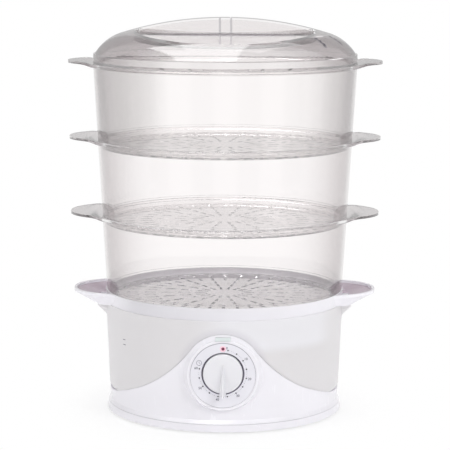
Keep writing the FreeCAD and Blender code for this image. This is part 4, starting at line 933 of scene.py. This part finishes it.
@dataclass
class DialPrint:
    """The print round the knob: minute dots, figures, a start mark and a clock sign, and the painted shadow
    of the dial's edge line and two dark rings.
    """

    face_y: float = -118.4 * MM
    well_y: float = -114.2 * MM
    axis_z: float = 59.6 * MM
    plate_z: float = 57.5 * MM
    dot_circle: float = 22.75 * MM
    figure_circle: float = 25.9 * MM
    zero_circle: float = 24.6 * MM
    zero_angle: float = 8.5
    dot_r: float = 0.72 * MM
    fine_dot_r: float = 0.22 * MM
    ink: float = 0.06 * MM
    first_angle: float = 12.1
    step_angle: float = 22.42
    steps: int = 12
    fine_between: int = 4
    figure_height: float = 2.3 * MM
    start_r: float = 1.5 * MM
    halo_r: float = 2.9 * MM
    start_circle: float = 23.7 * MM
    clock_angle: float = 294.0
    clock_circle: float = 24.7 * MM
    clock_r: float = 2.4 * MM
    clock_line: float = 0.35 * MM
    hand_angles: tuple[float, ...] = (0.0, 115.0)
    # Painted shadow: the dial's edge line, darkest at the top and fading down each side.
    edge_r: float = 31.15 * MM
    edge_line: float = 0.5 * MM
    edge_reach: float = 112.0
    well_inner_r: float = 18.5 * MM
    well_outer_r: float = 19.35 * MM
    shadow_r: float = 20.1 * MM
    shadow_line: float = 0.75 * MM
    shadow_reach: float = 155.0
    dot_sides: int = 20
    ring_steps: int = 96
    thinnest: float = 0.12
    hand_share: float = 0.6
    step_minutes: int = 5

    def at(self, angle: float, radius: float) -> tuple[float, float]:
        """The x and z of a place, by its angle clockwise from the top and its distance from the axis."""
        turn = math.radians(angle)
        return radius * math.sin(turn), self.axis_z + radius * math.cos(turn)

    def add_dot(self, mesh_data: bmesh.types.BMesh, angle: float, radius: float, circle: float,
                lift: float = 0.0) -> None:
        """Adds one round dot of ink.

        Args:
            mesh_data: The bmesh that gets it.
            angle: Clockwise from the top, in degrees.
            radius: The dot's radius.
            circle: The dot's distance from the axis.
            lift: How far its back stands off the face.
        """
        x, z = self.at(angle, circle)
        place = Matrix.Translation((x, self.face_y - lift - self.ink / 2, z))
        bmesh.ops.create_cone(mesh_data, cap_ends=True, cap_tris=False, segments=self.dot_sides,
                              radius1=radius, radius2=radius, depth=self.ink,
                              matrix=place @ rotation(90, "X"))

    def ring(self, name: str, centre: Point, radius: float, width: float, reach: float,
             turned: float = 0.0) -> Object:
        """Makes a flat ring or arc of ink that faces the front, which narrows to its ends.

        Args:
            name: The piece's name.
            centre: The ring's middle, on the surface that carries it.
            radius: The line's middle radius.
            width: The line's width at its middle.
            reach: How far it goes each way from its middle, in degrees; 180 is a whole ring.
            turned: Where its middle is, clockwise from the top in degrees.

        Returns:
            The piece.
        """
        whole = reach >= 180.0
        band = bmesh.new()
        profile = [band.verts.new((0.0, y, radius + side * width / 2))
                   for side, y in ((-1, 0.0), (1, 0.0), (1, -self.ink), (-1, -self.ink))]
        edges = [band.edges.new((profile[i], profile[(i + 1) % 4])) for i in range(4)]
        bmesh.ops.rotate(band, verts=profile, cent=(0, 0, 0), matrix=rotation(-reach, "Y", size=3))
        bmesh.ops.spin(band, geom=profile + edges, cent=(0, 0, 0), axis=(0, 1, 0),
                       angle=math.radians(reach * 2), steps=self.ring_steps, use_merge=whole)
        if not whole:
            for vert in band.verts:
                away = abs(math.degrees(math.atan2(vert.co.x, vert.co.z))) / reach
                distance = math.hypot(vert.co.x, vert.co.z)
                slim = radius + (distance - radius) * max(self.thinnest, 1.0 - away ** 3)
                vert.co.x *= slim / distance
                vert.co.z *= slim / distance
            bmesh.ops.holes_fill(band, edges=band.edges)
        bmesh.ops.recalc_face_normals(band, faces=band.faces)
        bmesh.ops.rotate(band, verts=band.verts, cent=(0, 0, 0), matrix=rotation(turned, "Y", size=3))
        bmesh.ops.translate(band, verts=band.verts, vec=centre)
        return piece_from(band, name)

    def hand(self, name: str, centre: Point, angle: float, length: float) -> Object:
        """Makes one hand of the clock sign: a thin bar from its middle outwards.

        Args:
            name: The piece's name.
            centre: The sign's middle, on the surface that carries it.
            angle: Where the hand points, clockwise from the top in degrees.
            length: How long it is.

        Returns:
            The piece.
        """
        bar = bmesh.new()
        size = Matrix.Diagonal((self.clock_line, self.ink, length, 1.0))
        turn = rotation(angle, "Y")
        bmesh.ops.create_cube(bar, size=1.0, matrix=Matrix.Translation(centre) @ turn
                              @ Matrix.Translation((0, -self.ink / 2, length / 2)) @ size)
        return piece_from(bar, name)

    def rings(self) -> list[tuple[Object, Finish]]:
        """Makes the dial's painted shadow edge line, the painted shades in and under the knob's well and the
        clock sign.

        Returns:
            Each piece with its finish.
        """
        # Painted shadow lines: along the dial's edge, on the well's floor and round the knob's foot.
        edge = self.ring("dial_edge_shadow_line", (0, self.face_y, self.plate_z), self.edge_r, self.edge_line,
                         self.edge_reach)
        well_r = (self.well_inner_r + self.well_outer_r) / 2
        well = self.ring("knob_well_shade", (0, self.well_y, self.axis_z), well_r,
                         self.well_outer_r - self.well_inner_r, 180.0)
        shadow = self.ring("knob_shadow_line", (0, self.face_y, self.axis_z), self.shadow_r,
                           self.shadow_line, self.shadow_reach, turned=180.0)
        x, z = self.at(self.clock_angle, self.clock_circle)
        centre = (x, self.face_y, z)
        made = [(edge, PAINTED_EDGE_SHADOW), (well, GAP_DARK), (shadow, GAP_DARK),
                (self.ring("clock_circle", centre, self.clock_r, self.clock_line, 180.0), PALE_INK)]
        for number, angle in enumerate(self.hand_angles):
            hand = self.hand(f"clock_hand_{number + 1}", centre, angle, self.clock_r * self.hand_share)
            made.append((hand, PALE_INK))
        return made

    def build(self, paints: Paints) -> list[Object]:
        """Makes the whole print and its painted shadow lines.

        Args:
            paints: The materials.

        Returns:
            The pieces of the print.
        """
        dots, fine, halo, start = (bmesh.new() for _ in range(4))
        for number in range(self.steps + 1):
            angle = self.first_angle + self.step_angle * number
            self.add_dot(dots, angle, self.dot_r, self.dot_circle)
            for part in range(1, self.fine_between + 1):
                if number < self.steps:
                    between = angle + self.step_angle * part / (self.fine_between + 1)
                    self.add_dot(fine, between, self.fine_dot_r, self.dot_circle)
        self.add_dot(halo, 0.0, self.halo_r, self.start_circle)
        self.add_dot(start, 0.0, self.start_r, self.start_circle, lift=self.ink)
        made = [(piece_from(mesh_data, name), finish) for mesh_data, name, finish in (
            (dots, "scale_dots", INK), (fine, "scale_fine_dots", PALE_INK),
            (halo, "start_halo", PINK_INK), (start, "start_mark", RED_INK))]
        for number in range(0, self.steps + 1, 2):
            angle = self.first_angle + self.step_angle * number if number else self.zero_angle
            x, z = self.at(angle, self.figure_circle if number else self.zero_circle)
            figure = str(number * self.step_minutes)
            label = text_piece(f"figure_{figure}", figure, self.figure_height,
                               (x, self.face_y - self.ink / 2, z), self.ink)
            made.append((label, FIGURE_INK))
        made += self.rings()
        return [lay_print(paints, piece, ink) for piece, ink in made]


@dataclass
class LevelMarks:
    """Two short plain lines of ink on the tank's front left, one above the other."""

    foot_r: float = 114.8 * MM
    foot_z: float = 28.2 * MM
    rim_r: float = 118.2 * MM
    rim_z: float = 109.5 * MM
    angle: float = -55.6
    spread: float = 2.1
    line: float = 0.6 * MM
    ink: float = 0.06 * MM
    heights: tuple[float, ...] = (75.8 * MM, 80.8 * MM)

    def mark(self, name: str, height: float) -> Object:
        """Makes one line of ink that follows the tank's wall.

        Args:
            name: The piece's name.
            height: How high its middle is.

        Returns:
            The piece.
        """
        bar = bmesh.new()
        bmesh.ops.create_cube(bar, size=1.0)
        for vert in bar.verts:
            turn = math.radians(self.angle + vert.co.x * self.spread)
            z = height + vert.co.z * self.line
            share = (z - self.foot_z) / (self.rim_z - self.foot_z)
            wall_r = self.foot_r + (self.rim_r - self.foot_r) * share
            radius = wall_r + (self.ink if vert.co.y < 0 else -self.ink)
            vert.co = (radius * math.sin(turn), -radius * math.cos(turn), z)
        return piece_from(bar, name)

    def build(self, paints: Paints) -> list[Object]:
        """Makes both lines and puts them on the tank's body."""
        return [lay_print(paints, self.mark(f"level_mark_{number}", height), FIGURE_INK)
                for number, height in enumerate(self.heights, start=1)]


@dataclass
class Studio:
    """The floor, the lights, the surroundings and the camera."""

    camera_place: Point = (0.3 * MM, -1906.6 * MM, 469.4 * MM)
    camera_orbit: float = 0.55
    camera_tilt: float = 8.515
    camera_roll: float = 0.2345
    focal: float = 154.69
    sensor: float = 36.0
    near_clip: float = 0.05
    far_clip: float = 60.0
    floor_r: float = 6.0
    floor_sides: int = 96
    floor_colour: Colour = (0.93, 0.93, 0.935)
    floor_roughness: float = 0.8
    speckle_scale: float = 300.0
    speckle_depth: float = 0.00005
    shade_start: float = 0.11
    shade_end: float = 0.18
    near_share: float = 0.72
    ambient: float = 0.74
    lamps: tuple[tuple[str, Point, float, float], ...] = (
        ("key_lamp", (1.2, -1.5, 1.5), 0.7, 12.5),
        ("fill_lamp", (-1.5, -1.1, 0.9), 0.9, 4.0),
        ("top_lamp", (0.1, 0.5, 1.9), 1.2, 7.0),
    )
    lamp_aim: Point = (0.0, 0.0, 0.2)
    strip_count: float = 8.0
    mirrored_strip: Span = (-0.2, 0.4)
    seen_strip: Span = (-0.5, 0.35)
    side_level: float = 0.62
    dark_level: float = 0.42
    strip_level: float = 0.62
    box_level: float = 6.0
    far_box_level: float = 1.6
    left_box: Span = (-0.53, 0.16)
    right_box: Span = (0.12, 0.85)
    box_softness: float = 0.04
    box_low_edge: Span = (0.24, 0.32)
    box_back_edge: Span = (0.36, 0.43)

    def camera(self) -> None:
        """Makes the camera."""
        lens = bpy.data.cameras.new("camera")
        lens.lens = self.focal
        lens.sensor_width = self.sensor
        lens.clip_start = self.near_clip
        lens.clip_end = self.far_clip
        made = linked("camera", lens)
        made.matrix_world = (rotation(self.camera_orbit, "Z") @ Matrix.Translation(self.camera_place)
                             @ rotation(90 - self.camera_tilt, "X") @ rotation(self.camera_roll, "Z"))
        bpy.context.scene.camera = made

    def lamp(self, name: str, place: Point, size: float, power: float) -> None:
        """Makes a square soft lamp that looks at the middle of the object.

        Args:
            name: The lamp's name.
            place: Where it stands.
            size: Its side.
            power: Its power in watts.
        """
        light = bpy.data.lights.new(name, "AREA")
        light.shape = "SQUARE"
        light.size = size
        light.energy = power
        made = linked(name, light)
        aim = Vector(self.lamp_aim) - Vector(place)
        made.matrix_world = Matrix.Translation(place) @ aim.to_track_quat("-Z", "Y").to_matrix().to_4x4()

    def floor(self) -> None:
        """Makes the round pale floor, which keeps the shade under the object."""
        disc = bmesh.new()
        bmesh.ops.create_circle(disc, cap_ends=True, cap_tris=False, segments=self.floor_sides,
                                radius=self.floor_r)
        made = piece_from(disc, "floor")
        material = bpy.data.materials.new("pale_floor")
        material.use_nodes = True
        tree = material.node_tree
        shader = tree.nodes["Principled BSDF"]
        shader.inputs["Base Color"].default_value = (*self.floor_colour, 1.0)
        shader.inputs["Roughness"].default_value = self.floor_roughness
        place = object_place(tree)
        speckle = add_node(tree, "TexNoise")
        speckle.inputs["Scale"].default_value = self.speckle_scale
        feed(tree, place, speckle.inputs["Vector"])
        add_bump(tree, shader, speckle.outputs["Fac"], self.speckle_depth)
        reach = add_node(tree, "VectorMath", operation="LENGTH")
        feed(tree, place, reach.inputs[0])
        away = remap(tree, reach.outputs["Value"], self.shade_start, self.shade_end, self.near_share, 1.0,
                     smooth=True)
        white = add_node(tree, "Emission")
        rays = add_node(tree, "LightPath").outputs
        seen = maths(tree, "MAXIMUM", rays["Is Camera Ray"],
                     maths(tree, "MAXIMUM", rays["Is Glossy Ray"], rays["Is Transmission Ray"]))
        show_either(tree, product(tree, seen, away), shader.outputs["BSDF"], white.outputs["Emission"])
        made.data.materials.append(material)

    def surroundings(self) -> None:
        """Sets the world: white to the eye, soft grey light, and soft boxes on grey in gloss."""
        world = bpy.data.worlds.new("surroundings")
        world.use_nodes = True
        bpy.context.scene.world = world
        tree = world.node_tree
        backdrop = tree.nodes["Background"]
        toward = axes_of(tree, add_node(tree, "TexCoord").outputs["Generated"])
        azimuth = maths(tree, "ARCTAN2", toward["X"], toward["Y"])
        strips = maths(tree, "COSINE", product(tree, azimuth, self.strip_count))
        reflected = remap(tree, strips, *self.mirrored_strip, self.dark_level, self.strip_level, smooth=True)
        above = rise(tree, toward["Z"], *self.box_low_edge)
        before = fall(tree, toward["Y"], *self.box_back_edge)
        soft = self.box_softness
        for (left, right), box_level in ((self.left_box, self.box_level),
                                         (self.right_box, self.far_box_level)):
            box = plateau(tree, toward["X"], (left, left + soft, right - soft, right))
            reflected = maths(tree, "MAXIMUM", reflected, product(tree, box, above, before, box_level))
        sideways = remap(tree, strips, *self.seen_strip, self.side_level, 1.0, smooth=True)
        rays = add_node(tree, "LightPath").outputs
        level = self.ambient
        for ray, value in (("Is Glossy Ray", reflected), ("Is Transmission Ray", sideways),
                           ("Is Camera Ray", 1.0)):
            kept = product(tree, level, maths(tree, "SUBTRACT", 1.0, rays[ray]))
            level = maths(tree, "ADD", kept, product(tree, value, rays[ray]))
        feed(tree, level, backdrop.inputs["Strength"])
        backdrop.inputs["Color"].default_value = (1.0, 1.0, 1.0, 1.0)

    def build(self) -> None:
        """Makes the whole studio and sets the view transform."""
        self.camera()
        self.floor()
        self.surroundings()
        for lamp in self.lamps:
            self.lamp(*lamp)
        bpy.context.scene.view_settings.view_transform = "Standard"


@dataclass
class Steamer:
    """The whole steamer: the dressed nodes and the pieces that are added to them."""

    dial: DialPrint = field(default_factory=DialPrint)
    marks: LevelMarks = field(default_factory=LevelMarks)

    def dress_nodes(self, paints: Paints) -> None:
        """Gives every carried-over node its finish.

        Args:
            paints: The materials.
        """
        for finish, names in NODE_FINISHES.items():
            for name in names:
                paints.dress(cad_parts[name], finish)
                log.info("%s: %s", name, finish.name)

    def build(self, paints: Paints) -> None:
        """Dresses the nodes and adds the pieces.

        Args:
            paints: The materials.
        """
        self.dress_nodes(paints)
        for piece in self.dial.build(paints) + self.marks.build(paints):
            log.info("%s: %d faces", piece.name, len(piece.data.polygons))


def main() -> None:
    """Builds the studio and the steamer."""
    logging.basicConfig(level=logging.INFO, format="%(name)s %(message)s")
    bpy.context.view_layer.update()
    paints = Paints()
    Studio().build()
    Steamer().build(paints)


if __name__ == "__main__":
    main()
